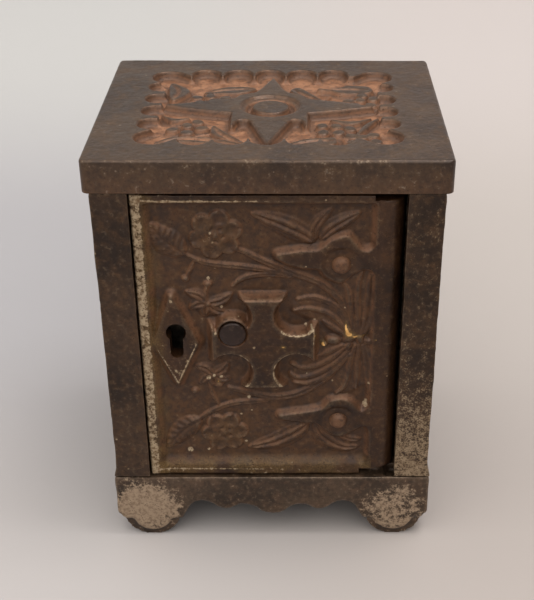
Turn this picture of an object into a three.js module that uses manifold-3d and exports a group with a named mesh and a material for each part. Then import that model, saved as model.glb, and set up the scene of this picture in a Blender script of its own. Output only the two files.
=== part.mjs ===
// A small cast-iron locking box on four round feet: base, two side walls with front pillars, back wall,
// lid, a door that turns on two pivots, and a lock with a sliding bolt.
// Millimetres. +X is to the right, +Y goes from the front to the back, +Z is up.
// The whole part stands on z = 0, centred on the origin. Its pieces are laid out in the body's own frame:
// x from the middle, y behind the pillars' front faces, z above the base's top.
import * as THREE from "three";
import { mergeVertices } from "three/addons/utils/BufferGeometryUtils.js";
import Module from "manifold-3d";

// ---- driving dimensions ----
const LID_WIDTH = 95;
const LID_DEPTH = 78.5;
const LID_HEIGHT = 9.1;
const LID_FRONT_OVERHANG = 0.25;
const BODY_HEIGHT = 92.3; // from the base's top to the lid's underside
const BODY_HALF_WIDTH = 45.7;
const BASE_HEIGHT = 22; // feet included
const BASE_HALF_WIDTH = 46.6;
const OPENING_HALF_WIDTH = 36; // between the pillars
const WALL = 3.2; // sides, back and pillars
const SEAM = 0.25; // the gap between two castings
const FLARE_HEIGHT = 6; // the walls spread to the base's width over this height

const DOOR_LEFT = -35.7;
const DOOR_BOTTOM = 0.5;
const DOOR_TOP = 91.3;
const DOOR_FRONT = 1.0; // the rim's face, behind the pillars' faces
const DOOR_THICKNESS = 5.0;
const DOOR_BACK = DOOR_FRONT + DOOR_THICKNESS;
const FIELD_DEPTH = 2.2; // how far the door's field is sunk below its rim
const COLUMN_RADIUS = 5.4; // the rolled edge that the door turns on
const COLUMN_BOTTOM = 2.6;
const COLUMN_TOP = 89.8;
const HINGE_X = 30.3;
const HINGE_Y = DOOR_FRONT + COLUMN_RADIUS;

const STUD_PROUD = 1.0; // in front of the pillars: the foremost point of the whole box
const STUD_RADIUS = 3.65;
const STUD_SHANK = 2.1;
const KEY_X = -25.8;
const KEY_Z = 49.8;

const LID_FLOOR_DEPTH = 2.3;
const LID_POCKET_DEPTH = 3.5;
const BASE_PLATE = 3.2;
const APRON = 3.6;

const SCREW_X = 38.2;
const SCREW_INSET = 22; // the tie screws, from the front and back faces, clear of the feet
const SCREW_RADIUS = 1.75;
const SCREW_HEAD_RADIUS = 3;

const BODY_DEPTH = LID_DEPTH - 2 * LID_FRONT_OVERHANG;
const FRONT_Y = -(LID_DEPTH - LID_FRONT_OVERHANG - STUD_PROUD) / 2; // the pillars' faces in the part's frame
const BASE_FRONT = -LID_FRONT_OVERHANG;
const BASE_BACK = BASE_FRONT + LID_DEPTH;
const LID_MIDDLE_Y = BASE_FRONT + LID_DEPTH / 2;

// ---- materials ----
const iron = (color, roughness) =>
  new THREE.MeshStandardMaterial({ color, roughness, metalness: 0.6 });
const BODY_IRON = iron(0x4a3d36, 0.55);
const LID_IRON = iron(0x6b5f5c, 0.5);
const DOOR_IRON = iron(0x5b4230, 0.5);
const LOCK_STEEL = iron(0x77726c, 0.45);
const FASTENER_STEEL = iron(0x5d5853, 0.5);

// ---- solids ----
const wasm = await Module();
wasm.setup();

function solid(geometry) {
  geometry.deleteAttribute("normal");
  geometry.deleteAttribute("uv");
  const merged = mergeVertices(geometry, 1e-4);
  const mesh = new wasm.Mesh({
    numProp: 3,
    vertProperties: merged.attributes.position.array,
    triVerts: new Uint32Array(merged.index.array),
  });
  return new wasm.Manifold(mesh);
}

const union = (solids) => solids.reduce((whole, one) => whole.add(one));

function box([x0, x1], [y0, y1], [z0, z1]) {
  const block = new THREE.BoxGeometry(x1 - x0, y1 - y0, z1 - z0);
  return solid(block.translate((x0 + x1) / 2, (y0 + y1) / 2, (z0 + z1) / 2));
}

// A cylinder or cone along z, from z0 to z1, standing on (x, y).
function postZ(radius, x, y, [z0, z1], { top = radius, sides = 24 } = {}) {
  const post = new THREE.CylinderGeometry(top, radius, z1 - z0, sides).rotateX(Math.PI / 2);
  return solid(post.translate(x, y, (z0 + z1) / 2));
}

// A cylinder or cone along y, from y0 to y1, through (x, z).
function postY(radius, x, z, [y0, y1], { back = radius, sides = 24 } = {}) {
  const post = new THREE.CylinderGeometry(back, radius, y1 - y0, sides);
  return solid(post.translate(x, (y0 + y1) / 2, z));
}

const STEPS = { steps: 1, bevelEnabled: false, curveSegments: 6 };

// A shape drawn in x and z, pushed along y.
function extrudeY(shape, [y0, y1]) {
  const pushed = new THREE.ExtrudeGeometry(shape, { ...STEPS, depth: y1 - y0 });
  return solid(pushed.rotateX(Math.PI / 2).translate(0, y1, 0));
}

// A shape drawn in y and z, pushed along x.
function extrudeX(shape, [x0, x1]) {
  const pushed = new THREE.ExtrudeGeometry(shape, { ...STEPS, depth: x1 - x0 });
  const turn = new THREE.Matrix4().makeBasis(
    new THREE.Vector3(0, 1, 0),
    new THREE.Vector3(0, 0, 1),
    new THREE.Vector3(1, 0, 0),
  );
  return solid(pushed.applyMatrix4(turn).translate(x0, 0, 0));
}

// A shape drawn in x and y, pushed along z.
function extrudeZ(shape, [z0, z1]) {
  return solid(new THREE.ExtrudeGeometry(shape, { ...STEPS, depth: z1 - z0 }).translate(0, 0, z0));
}

function polygon(points) {
  return new THREE.Shape(points.map(([a, b]) => new THREE.Vector2(a, b)));
}

function roundedRectangle(halfWidth, y0, y1, radius) {
  const shape = new THREE.Shape();
  shape.moveTo(halfWidth, y0 + radius);
  shape.absarc(halfWidth - radius, y1 - radius, radius, 0, Math.PI / 2);
  shape.absarc(radius - halfWidth, y1 - radius, radius, Math.PI / 2, Math.PI);
  shape.absarc(radius - halfWidth, y0 + radius, radius, Math.PI, 1.5 * Math.PI);
  shape.absarc(halfWidth - radius, y0 + radius, radius, 1.5 * Math.PI, 2 * Math.PI);
  return shape;
}

function piece(group, name, made, material) {
  const { vertProperties, triVerts } = made.getMesh();
  const geometry = new THREE.BufferGeometry()
    .setAttribute("position", new THREE.BufferAttribute(new Float32Array(vertProperties), 3))
    .setIndex(new THREE.BufferAttribute(new Uint32Array(triVerts), 1));
  geometry.computeVertexNormals();
  const mesh = new THREE.Mesh(geometry, material);
  mesh.name = name;
  group.add(mesh);
  return mesh;
}

const mirror = (both) => [-1, 1].flatMap(both);

// ---- base ----
const FOOT_INSET = 10.2; // the foot's middle, from the base's edge
const FOOT_RADIUS = 8.6;
const FOOT_CENTRE_Z = 8.2 - BASE_HEIGHT; // less than the radius up, so the foot has a flat to stand on
const FACE_RADIUS = 5.6;
const FACE_CENTRE_Z = 7.6 - BASE_HEIGHT;
const FOOT_BLOCK = 13.5;
const FOOT_SPAN = 22; // from the base's edge to the first scallop
const APRON_TOP = -0.5;

// The lower edge of an apron from its middle to its right end: scallops, then a shoulder above the foot.
// The scallops draw together on a narrower apron.
function halfApron(halfWidth) {
  const shape = new THREE.Shape();
  const squeeze = (halfWidth - FOOT_SPAN) / (BASE_HALF_WIDTH - FOOT_SPAN);
  shape.moveTo(0, APRON_TOP);
  shape.lineTo(0, -13.8);
  shape.quadraticCurveTo(3 * squeeze, -13.8, 5 * squeeze, -11.3);
  shape.quadraticCurveTo(8.6 * squeeze, -9.1, 11 * squeeze, -10.9);
  shape.quadraticCurveTo(14 * squeeze, -13.1, 17 * squeeze, -10.7);
  shape.quadraticCurveTo(21.3 * squeeze, -6.9, halfWidth - FOOT_SPAN, -10.5);
  shape.lineTo(halfWidth - 19.4, -15.4);
  shape.lineTo(halfWidth - 16.4, -15.4);
  shape.lineTo(halfWidth - 1.6, -15.1);
  shape.lineTo(halfWidth, -12.6);
  shape.lineTo(halfWidth, APRON_TOP);
  return shape;
}

const baseSolid = (() => {
  const plan = [BASE_FRONT, BASE_BACK];
  const plate = extrudeZ(roundedRectangle(BASE_HALF_WIDTH, ...plan, 2), [-BASE_PLATE, 0]);

  const frontHalf = extrudeY(halfApron(BASE_HALF_WIDTH), [BASE_FRONT, BASE_FRONT + APRON]);
  const front = frontHalf.add(frontHalf.mirror([1, 0, 0]));
  const back = front.mirror([0, 1, 0]).translate([0, 2 * LID_MIDDLE_Y, 0]);

  const sideHalf = extrudeX(halfApron(LID_DEPTH / 2), [BASE_HALF_WIDTH - APRON, BASE_HALF_WIDTH]);
  const side = sideHalf.add(sideHalf.mirror([0, 1, 0])).translate([0, LID_MIDDLE_Y, 0]);

  // A foot is where a disc seen from the front meets a disc seen from the side. In front, the first disc
  // shows whole, as a ring round the foot's raised face.
  const footX = BASE_HALF_WIDTH - FOOT_INSET;
  const footY = BASE_FRONT + FOOT_INSET;
  const ringFront = BASE_FRONT + 0.9;
  const fromFront = [ringFront, BASE_FRONT + FOOT_BLOCK + 4];
  const fromSide = [BASE_HALF_WIDTH - FOOT_BLOCK - 4, BASE_HALF_WIDTH - 0.6];
  const middleX = (fromSide[0] + fromSide[1]) / 2;
  const seenFront = postY(FOOT_RADIUS, footX, FOOT_CENTRE_Z, fromFront);
  const sideDisc = new THREE.CylinderGeometry(FOOT_RADIUS, FOOT_RADIUS, fromSide[1] - fromSide[0], 24)
    .rotateZ(Math.PI / 2)
    .translate(middleX, footY, FOOT_CENTRE_Z);
  const above = box([20, 60], [-20, 40], [-BASE_HEIGHT, APRON_TOP]);
  const column = box(
    [BASE_HALF_WIDTH - FOOT_BLOCK, BASE_HALF_WIDTH - 1],
    [BASE_FRONT + 1, BASE_FRONT + FOOT_BLOCK],
    [FOOT_CENTRE_Z + 1.5, -1],
  );
  const foot = seenFront.intersect(solid(sideDisc)).intersect(above).add(column);
  const ring = postY(FOOT_RADIUS, footX, FOOT_CENTRE_Z, [ringFront, BASE_FRONT + 5]).intersect(above);
  const face = postY(FACE_RADIUS, footX, FACE_CENTRE_Z, [BASE_FRONT, BASE_FRONT + 2]);
  const frontFoot = union([foot, ring, face]);
  const frontFeet = frontFoot.add(frontFoot.mirror([1, 0, 0]));
  const rearFeet = foot
    .add(foot.mirror([1, 0, 0]))
    .mirror([0, 1, 0])
    .translate([0, 2 * LID_MIDDLE_Y, 0]);

  // The curb inside the side and back walls, the hinge socket, and the well beside it.
  const curb = [-2.4, 2.2];
  const inner = BODY_HALF_WIDTH - WALL - SEAM;
  const curbs = union([
    ...mirror((s) => box([s * inner, s * (inner - 1.8)].sort((a, b) => a - b), [8, 72], curb)),
    box([-30, 30], [BODY_DEPTH - WALL - 2.3, BODY_DEPTH - WALL - 0.5], curb),
  ]);
  const socket = postZ(4.2, HINGE_X, HINGE_Y, [-2, 2.2], { top: 2.1 });
  const well = box([33.4, 37.5], [0.9, 6.4], [-2.2, 3]);
  const pivotHole = postZ(1.75, HINGE_X, HINGE_Y, [-5, 5]);
  const screwHoles = union(screwPlaces().map(([x, y]) => postZ(SCREW_RADIUS + 0.3, x, y, [-10, 5])));
  return union([plate, front, back, side, side.mirror([1, 0, 0]), frontFeet, rearFeet])
    .add(curbs)
    .subtract(well)
    .add(socket)
    .subtract(pivotHole)
    .subtract(screwHoles);
})();

function screwPlaces() {
  return mirror((side) => [
    [side * SCREW_X, SCREW_INSET],
    [side * SCREW_X, BODY_DEPTH - SCREW_INSET],
  ]);
}

// ---- walls ----
const WALL_Z = [SEAM, BODY_HEIGHT - SEAM];
const WALL_BACK = BODY_DEPTH - WALL - SEAM; // the side walls end here, in front of the back wall
const PILLAR_DEPTH = WALL;

// A wall's section: straight inside, spreading to the base's edge at the foot outside.
function wallSection(inside, outside, spread) {
  const shape = new THREE.Shape();
  shape.moveTo(inside, WALL_Z[0]);
  shape.lineTo(outside + spread, WALL_Z[0]);
  shape.lineTo(outside + spread, WALL_Z[0] + 1);
  shape.quadraticCurveTo(outside, WALL_Z[0] + 2.2, outside, WALL_Z[0] + FLARE_HEIGHT);
  shape.lineTo(outside, WALL_Z[1]);
  shape.lineTo(inside, WALL_Z[1]);
  return shape;
}

const spread = BASE_HALF_WIDTH - BODY_HALF_WIDTH - 0.1;
const rightWall = extrudeY(
  wallSection(BODY_HALF_WIDTH - WALL, BODY_HALF_WIDTH, spread),
  [0, WALL_BACK],
).add(box([OPENING_HALF_WIDTH, BODY_HALF_WIDTH - 1], [0, PILLAR_DEPTH], WALL_Z));

const BOLT_Z = [54.3, 61.8];
const BOLT_Y = [DOOR_BACK + 0.45, DOOR_BACK + 3.05];
// Behind the left pillar a lug fills the depth down to the bolt, which it holds when the bolt is thrown.
const keeper = box([-42.6, -OPENING_HALF_WIDTH], [PILLAR_DEPTH - 1, BOLT_Y[0] - 0.3], [50, 66]);
const leftWall = rightWall.mirror([1, 0, 0]).add(keeper);

const backWall = (() => {
  const panel = extrudeX(wallSection(BODY_DEPTH - WALL, BODY_DEPTH, spread * 0.2), [
    -BODY_HALF_WIDTH,
    BODY_HALF_WIDTH,
  ]);
  const reach = [BODY_DEPTH - WALL - 3, BODY_DEPTH - WALL + 1];
  const ribs = mirror((s) => {
    const across = [s * 42.2, s * 40.7].sort((a, b) => a - b);
    return box(across, reach, [6, BODY_HEIGHT - 6]);
  });
  return union([panel, ...ribs]);
})();

// ---- lid ----
const FIELD_HALF_X = 36;
const FIELD_HALF_Y = 29;
const LOBE_PITCH = 9.4;
const LOBE_RADIUS = 4.2;
const LID_TOP = BODY_HEIGHT + LID_HEIGHT;

function starShape() {
  const tips = [
    [29, 0],
    [10.5, 13.5],
    [0, 24.5],
    [-10.5, 13.5],
    [-29, 0],
    [-10.5, -13.5],
    [0, -26.5],
    [10.5, -13.5],
  ];
  const valley = 9.2;
  const points = tips.flatMap((tip, i) => {
    const angle = (i + 0.5) * (Math.PI / 4);
    return [tip, [valley * Math.cos(angle) * 1.12, valley * Math.sin(angle) * 0.86]];
  });
  return polygon(points);
}

const lidSolid = (() => {
  const slab = extrudeZ(roundedRectangle(LID_WIDTH / 2, BASE_FRONT, BASE_BACK, 2), [BODY_HEIGHT, LID_TOP]);
  const depth = [LID_TOP - LID_FLOOR_DEPTH, LID_TOP + 1];
  const lobe = (x, y, radius = LOBE_RADIUS) => postZ(radius, x, y, depth, { sides: 16 });
  const alongBack = [-2, -1, 0, 1, 2].flatMap((i) =>
    mirror((s) => lobe(i * LOBE_PITCH, s * (FIELD_HALF_Y - LOBE_RADIUS))),
  );
  const alongSides = [-1.5, -0.5, 0.5, 1.5].flatMap((i) =>
    mirror((s) => lobe(s * (FIELD_HALF_X - LOBE_RADIUS), i * LOBE_PITCH)),
  );
  const corners = mirror((s) => mirror((t) => lobe(s * 30.4, t * 23.4, 5.2)));
  const middle = box([-30.6, 30.6], [-22.6, 22.6], depth);
  const star = extrudeZ(starShape(), [depth[0] - 1, depth[1] + 1]);
  const field = union([middle, ...alongBack, ...alongSides, ...corners])
    .subtract(star)
    .translate([0, LID_MIDDLE_Y, 0]);
  const ring = postZ(7, 0, LID_MIDDLE_Y, [LID_TOP - 2, LID_TOP + 0.2], { top: 8.9 }).subtract(
    postZ(5, 0, LID_MIDDLE_Y, [LID_TOP - 3, LID_TOP + 1]),
  );
  const pocket = box([-33.5, 33.5], [12.5, 72], [BODY_HEIGHT - 1, BODY_HEIGHT + LID_POCKET_DEPTH]);
  const pivotHole = postZ(1.75, HINGE_X, HINGE_Y, [BODY_HEIGHT - 1, BODY_HEIGHT + 4.2]);
  const screwHoles = union(
    screwPlaces().map(([x, y]) => postZ(SCREW_RADIUS + 0.3, x, y, [BODY_HEIGHT - 1, BODY_HEIGHT + 6.3])),
  );
  return slab.subtract(field).subtract(ring).subtract(pocket).subtract(pivotHole).subtract(screwHoles);
})();

// ---- door ----
const STUD_X = -10.2;
const STUD_Z = 50.2;
const CROSS_X = -1.9;
const CROSS_Z = 46.6;
const CROSS_HALF = 14;
const CROSS_FACE = -0.5;
const STRAPS = [
  { name: "upper", z: 72, turn: 1, rivetZ: 70.6 },
  { name: "lower", z: 20.6, turn: -1, rivetZ: 19.7 },
];
const STRAP_EYE_X = 19.2;
const EYE_RADIUS = 6.5;
const FIELD = { x: [-32.2, 28.8], z: [4.2, 88.6] };
const FIELD_FLOOR = DOOR_FRONT + FIELD_DEPTH;
const RIVET_SHANK = 1.5;
const LOCK_SCREWS = [
  { name: "upper", z: 70.6 },
  { name: "lower", z: 37.4 },
];
const LOCK_SCREW_X = -25;
const PIVOT_RADIUS = 1.5;

function crossSolid() {
  const reach = [CROSS_FACE, FIELD_FLOOR + 0.4];
  const square = box(
    [CROSS_X - CROSS_HALF, CROSS_X + CROSS_HALF],
    reach,
    [CROSS_Z - CROSS_HALF, CROSS_Z + CROSS_HALF],
  );
  const cuts = mirror((s) =>
    mirror((t) => {
      const notch = postY(6.2, CROSS_X + s * 9.1, CROSS_Z + t * 9.1, [-2, FIELD_FLOOR + 1]);
      const corner = [5.2, 16];
      const span = (centre, sign) => corner.map((c) => centre + sign * c).sort((a, b) => a - b);
      return notch.add(box(span(CROSS_X, s), [-2, FIELD_FLOOR + 1], span(CROSS_Z, t)));
    }),
  );
  return square.subtract(union(cuts));
}

function strapSolid({ z, turn }) {
  const reach = [DOOR_FRONT, FIELD_FLOOR + 0.4];
  const tongue = polygon([
    [2.3, z + turn * 1.4],
    [4.5, z - 0.4],
    [13.5, z - 2.6],
    [19, z - 4.5],
    [19, z + 5],
    [14, z + 3.5],
    [5, z + 2.2],
  ]);
  const eye = postY(EYE_RADIUS, STRAP_EYE_X, z, reach);
  const neck = box([STRAP_EYE_X, FIELD.x[1] + 0.5], reach, [z - 2.4, z + 2.7]);
  return union([extrudeY(tongue, reach), eye, neck]);
}

function keyholeSolid(reach) {
  const head = postY(2.75, KEY_X, KEY_Z, reach);
  const slot = box([KEY_X - 1.8, KEY_X + 1.8], reach, [KEY_Z - 8.2, KEY_Z]);
  return head.add(slot);
}

const doorSolid = (() => {
  const plate = box([DOOR_LEFT, HINGE_X], [DOOR_FRONT, DOOR_BACK], [DOOR_BOTTOM, DOOR_TOP]);
  const field = box(FIELD.x, [DOOR_FRONT - 1, FIELD_FLOOR], FIELD.z);
  const upperNotch = box([27.5, 40], [0, 8], [COLUMN_TOP, DOOR_TOP + 1]);
  const lowerNotch = box([25.6, 40], [0, 8], [0, COLUMN_BOTTOM]);
  const column = postZ(COLUMN_RADIUS, HINGE_X, HINGE_Y, [COLUMN_BOTTOM, COLUMN_TOP], { sides: 40 });
  const shield = extrudeY(
    polygon([
      [-32.1, 46.2],
      [-26.4, 32.6],
      [-20.1, 46.2],
      [-26.4, 61],
    ]),
    [DOOR_FRONT - 0.3, FIELD_FLOOR + 0.4],
  );
  const boss = postY(5.4, STUD_X, STUD_Z, [CROSS_FACE, FIELD_FLOOR + 0.4]);
  const bores = union([
    keyholeSolid([-5, 20]),
    postY(STUD_SHANK + 0.15, STUD_X, STUD_Z, [-5, 20]),
    ...STRAPS.map(({ rivetZ }) => postY(RIVET_SHANK + 0.15, STRAP_EYE_X, rivetZ, [-5, 20])),
    ...LOCK_SCREWS.map(({ z }) => postY(1.25, LOCK_SCREW_X, z, [DOOR_BACK - 2.3, DOOR_BACK + 1])),
    postZ(PIVOT_RADIUS + 0.05, HINGE_X, HINGE_Y, [COLUMN_BOTTOM - 1, COLUMN_BOTTOM + 11]),
    postZ(PIVOT_RADIUS + 0.05, HINGE_X, HINGE_Y, [COLUMN_TOP - 11, COLUMN_TOP + 1]),
  ]);
  return plate
    .subtract(field)
    .subtract(upperNotch)
    .subtract(lowerNotch)
    .add(union([column, shield, boss, crossSolid(), ...STRAPS.map(strapSolid)]))
    .subtract(bores);
})();

// ---- door furniture ----
const WASHER = 1.1;
const studSolid = (() => {
  const head = postY(STUD_RADIUS, 0, 0, [-STUD_PROUD, CROSS_FACE - 0.02]);
  const shank = postY(STUD_SHANK, 0, 0, [CROSS_FACE - 0.5, DOOR_BACK + WASHER + 0.3]);
  const peened = postY(3, 0, 0, [DOOR_BACK + WASHER + 0.25, DOOR_BACK + WASHER + 1.3], { back: 2 });
  return union([head, shank, peened]);
})();
const washerSolid = postY(4.4, 0, 0, [DOOR_BACK + 0.12, DOOR_BACK + WASHER]).subtract(
  postY(STUD_SHANK + 0.2, 0, 0, [0, 20]),
);

// A low domed head turned round the rivet's own axis, with the peened end behind the door.
const rivetSolid = (() => {
  const headFace = DOOR_FRONT - 0.05;
  const profile = [
    [0, headFace - 0.9],
    [1.6, headFace - 0.82],
    [2.7, headFace - 0.5],
    [3.3, headFace],
    [RIVET_SHANK, headFace],
    [RIVET_SHANK, DOOR_BACK + 0.1],
    [2.5, DOOR_BACK + 0.1],
    [1.8, DOOR_BACK + 0.9],
    [0, DOOR_BACK + 0.9],
  ];
  const turned = new THREE.LatheGeometry(
    profile.map(([r, y]) => new THREE.Vector2(r, y)),
    28,
  );
  return solid(turned);
})();

const pinSolid = (span) => postZ(PIVOT_RADIUS, 0, 0, span, { sides: 24 });

// ---- lock ----
const CASE_X = [-34.4, -15.6];
const CASE_Z = [40.2, 67.8];
const CASE_WALL = 1.1;
const CASE_Y = [DOOR_BACK + 0.15, DOOR_BACK + 5.6];

const caseSolid = (() => {
  const outer = box(CASE_X, CASE_Y, CASE_Z);
  const hollow = box(
    [CASE_X[0] + CASE_WALL, CASE_X[1] - CASE_WALL],
    [CASE_Y[0] - 1, CASE_Y[1] - CASE_WALL],
    [CASE_Z[0] + CASE_WALL, CASE_Z[1] - CASE_WALL],
  );
  const ears = LOCK_SCREWS.map(({ z }) =>
    box([LOCK_SCREW_X - 3.5, LOCK_SCREW_X + 3.5], [CASE_Y[0], CASE_Y[0] + CASE_WALL], [
      Math.min(z - 3, CASE_Z[1] - 0.5),
      Math.max(z + 3, CASE_Z[0] + 0.5),
    ]),
  );
  const earHoles = LOCK_SCREWS.map(({ z }) => postY(1.5, LOCK_SCREW_X, z, [0, CASE_Y[0] + 1.5]));
  const boltWindow = box([CASE_X[0] - 1, CASE_X[0] + 2], [BOLT_Y[0] - 0.35, BOLT_Y[1] + 0.35], [
    BOLT_Z[0] - 0.35,
    BOLT_Z[1] + 0.35,
  ]);
  const keyEnd = postY(2.1, KEY_X, KEY_Z, [CASE_Y[1] - 3, CASE_Y[1] + 1], { sides: 24 });
  return outer
    .subtract(hollow)
    .add(union(ears))
    .subtract(union([...earHoles, boltWindow, keyEnd]));
})();

const boltSolid = (() => {
  const bar = box([DOOR_LEFT + 0.4, -17.6], BOLT_Y, BOLT_Z);
  const talon = box([KEY_X - 2.8, KEY_X + 2.8], [0, 20], [BOLT_Z[0] - 1, BOLT_Z[0] + 3.6]);
  const detent = box([-22, -20], [0, 20], [BOLT_Z[1] - 0.8, BOLT_Z[1] + 1]);
  return bar.subtract(talon).subtract(detent);
})();

const springSolid = (() => {
  const thickness = 0.55;
  const along = [
    [-32.6, 65.9],
    [-30.5, 65.9],
    [-27, 63.6],
    [-23, 62.5],
    [-19.5, 63.4],
    [-17.6, 65.2],
  ];
  const lower = along.map(([x, z]) => [x, z]);
  const upper = along.map(([x, z]) => [x, z + thickness]).reverse();
  return extrudeY(polygon([...lower, ...upper]), [BOLT_Y[0] + 0.2, BOLT_Y[1] - 0.2]);
})();

const lockScrewSolid = (() => {
  const headFace = CASE_Y[0] + CASE_WALL + 0.1;
  const head = postY(2.3, 0, 0, [headFace, headFace + 1.3], { back: 1.9, sides: 24 });
  const shank = postY(1.1, 0, 0, [DOOR_BACK - 2, headFace + 0.5], { sides: 20 });
  const slot = box([-3, 3], [headFace + 0.8, headFace + 3], [-0.3, 0.3]);
  return head.add(shank).subtract(slot);
})();

const tieScrewSolid = (() => {
  const seat = -BASE_PLATE - 0.2;
  const head = postZ(SCREW_HEAD_RADIUS - 0.6, 0, 0, [seat - 2, seat], { top: SCREW_HEAD_RADIUS });
  const shank = postZ(SCREW_RADIUS, 0, 0, [seat - 1, BODY_HEIGHT + 6], { sides: 20 });
  const slot = box([-4, 4], [-0.4, 0.4], [seat - 3, seat - 1.2]);
  return head.add(shank).subtract(slot);
})();

// ---- assembly ----
const root = new THREE.Group();
const body = new THREE.Group();
body.position.set(0, FRONT_Y, BASE_HEIGHT);
root.add(body);

piece(body, "base", baseSolid, BODY_IRON);
piece(body, "left_side", leftWall, BODY_IRON);
piece(body, "right_side", rightWall, BODY_IRON);
piece(body, "back_plate", backWall, BODY_IRON);
piece(body, "lid", lidSolid, LID_IRON);
["front_left", "rear_left", "front_right", "rear_right"].forEach((place, i) => {
  const [x, y] = screwPlaces()[i];
  piece(body, "tie_screw_" + place, tieScrewSolid, FASTENER_STEEL).position.set(x, y, 0);
});

const door = new THREE.Group();
body.add(door);
piece(door, "door", doorSolid, DOOR_IRON);
const pins = {
  upper: [COLUMN_TOP - 10.5, BODY_HEIGHT + 3.9],
  lower: [-2.9, COLUMN_BOTTOM + 10.5],
};
for (const [place, span] of Object.entries(pins))
  piece(door, "hinge_pin_" + place, pinSolid(span), FASTENER_STEEL).position.set(HINGE_X, HINGE_Y, 0);
for (const { name, rivetZ } of STRAPS)
  piece(door, "strap_rivet_" + name, rivetSolid, DOOR_IRON).position.set(STRAP_EYE_X, 0, rivetZ);
piece(door, "pull_stud", studSolid, DOOR_IRON).position.set(STUD_X, 0, STUD_Z);
piece(door, "pull_stud_washer", washerSolid, FASTENER_STEEL).position.set(STUD_X, 0, STUD_Z);

const lock = new THREE.Group();
door.add(lock);
piece(lock, "lock_case", caseSolid, LOCK_STEEL);
piece(lock, "lock_bolt", boltSolid, LOCK_STEEL);
piece(lock, "bolt_spring", springSolid, LOCK_STEEL);
for (const { name, z } of LOCK_SCREWS)
  piece(lock, "lock_screw_" + name, lockScrewSolid, FASTENER_STEEL).position.set(LOCK_SCREW_X, 0, z);

export default root;
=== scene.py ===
"""The looks of a small cast-iron locking box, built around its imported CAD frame.

Every casting is a mesh of its own with soft edges and a cast surface. The door and the lid carry their relief
as real height: stems, leaves, flowers, straps, a cross, a keyhole plate and a scalloped field with a star.
Lengths here are in millimetres, in the body's own frame: x from the middle, y behind the pillars' faces,
z above the base's top. place() turns them into the row's metres.
"""

import math

import bmesh
import bpy
import numpy as np
from mathutils import Matrix, Vector


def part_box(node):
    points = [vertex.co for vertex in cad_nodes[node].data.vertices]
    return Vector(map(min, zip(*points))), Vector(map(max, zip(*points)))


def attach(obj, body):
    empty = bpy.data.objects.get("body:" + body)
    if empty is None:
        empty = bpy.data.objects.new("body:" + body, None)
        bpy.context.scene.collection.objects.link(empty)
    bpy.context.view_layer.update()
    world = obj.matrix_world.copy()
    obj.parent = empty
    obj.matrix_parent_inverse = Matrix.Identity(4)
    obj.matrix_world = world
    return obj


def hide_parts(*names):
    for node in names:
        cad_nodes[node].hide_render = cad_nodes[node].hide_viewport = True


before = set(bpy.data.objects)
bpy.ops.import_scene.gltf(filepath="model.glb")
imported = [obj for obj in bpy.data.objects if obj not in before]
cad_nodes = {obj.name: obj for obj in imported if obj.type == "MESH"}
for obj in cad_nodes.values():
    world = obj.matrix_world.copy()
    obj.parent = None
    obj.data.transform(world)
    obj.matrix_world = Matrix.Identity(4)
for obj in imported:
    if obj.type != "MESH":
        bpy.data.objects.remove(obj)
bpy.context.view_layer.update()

MM = 0.001
SEAM = 0.25  # the gap between two castings
SIDE_LOW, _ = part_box("left_side")
FRONT = SIDE_LOW.y / MM
BASE_TOP = SIDE_LOW.z / MM - SEAM


def body_box(node):
    """A CAD node's box, its low and its high corner, in the body's frame."""
    return [np.array(corner) / MM - (0, FRONT, BASE_TOP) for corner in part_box(node)]


DOOR_LOW, DOOR_HIGH = body_box("door")
PIN_LOW, PIN_HIGH = body_box("hinge_pin_upper")
STUD_LOW, STUD_HIGH = body_box("pull_stud")
HINGE_X, HINGE_Y, _ = (PIN_LOW + PIN_HIGH) / 2
STUD_X, _, STUD_Z = (STUD_LOW + STUD_HIGH) / 2
COLUMN_RADIUS = DOOR_HIGH[0] - HINGE_X
DOOR_FRONT = HINGE_Y - COLUMN_RADIUS  # the rim's face
DOOR_BACK = DOOR_FRONT + 5.0
DOOR_LEFT, _, DOOR_BOTTOM = DOOR_LOW
DOOR_TOP = DOOR_HIGH[2]
COLUMN_BOTTOM, COLUMN_TOP = 2.6, 89.8
FIELD_DEPTH = 2.2


def place(points):
    """Points of the body's frame in mm, as points of the row's frame in metres."""
    return (np.asarray(points, float) + (0.0, FRONT, BASE_TOP)) * MM


# ---------------------------------------------------------------- fields of height

NOTHING = -99  # a height below every face, where a shape doesn't reach


def smoothstep(low, high, value):
    share = np.clip((value - low) / (high - low), 0, 1)
    return share * share * (3 - 2 * share)


def blur(field, cells):
    """A Gaussian blur of an array, by separable sums."""
    reach = max(1, int(3 * cells))
    weights = np.exp(-0.5 * (np.arange(-reach, reach + 1) / cells) ** 2)
    weights /= weights.sum()
    for axis in (0, 1):
        padded = np.pad(field, [(reach, reach) if a == axis else (0, 0) for a in (0, 1)], mode="edge")
        parts = [
            w * np.take(padded, range(i, i + field.shape[axis]), axis=axis) for i, w in enumerate(weights)
        ]
        field = sum(parts)
    return field


def grain(shape, cells, seed):
    """Smooth random lumps about that many cells across, with unit spread."""
    noise = blur(np.random.default_rng(seed).standard_normal(shape), cells)
    return (noise - noise.mean()) / noise.std()


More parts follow.
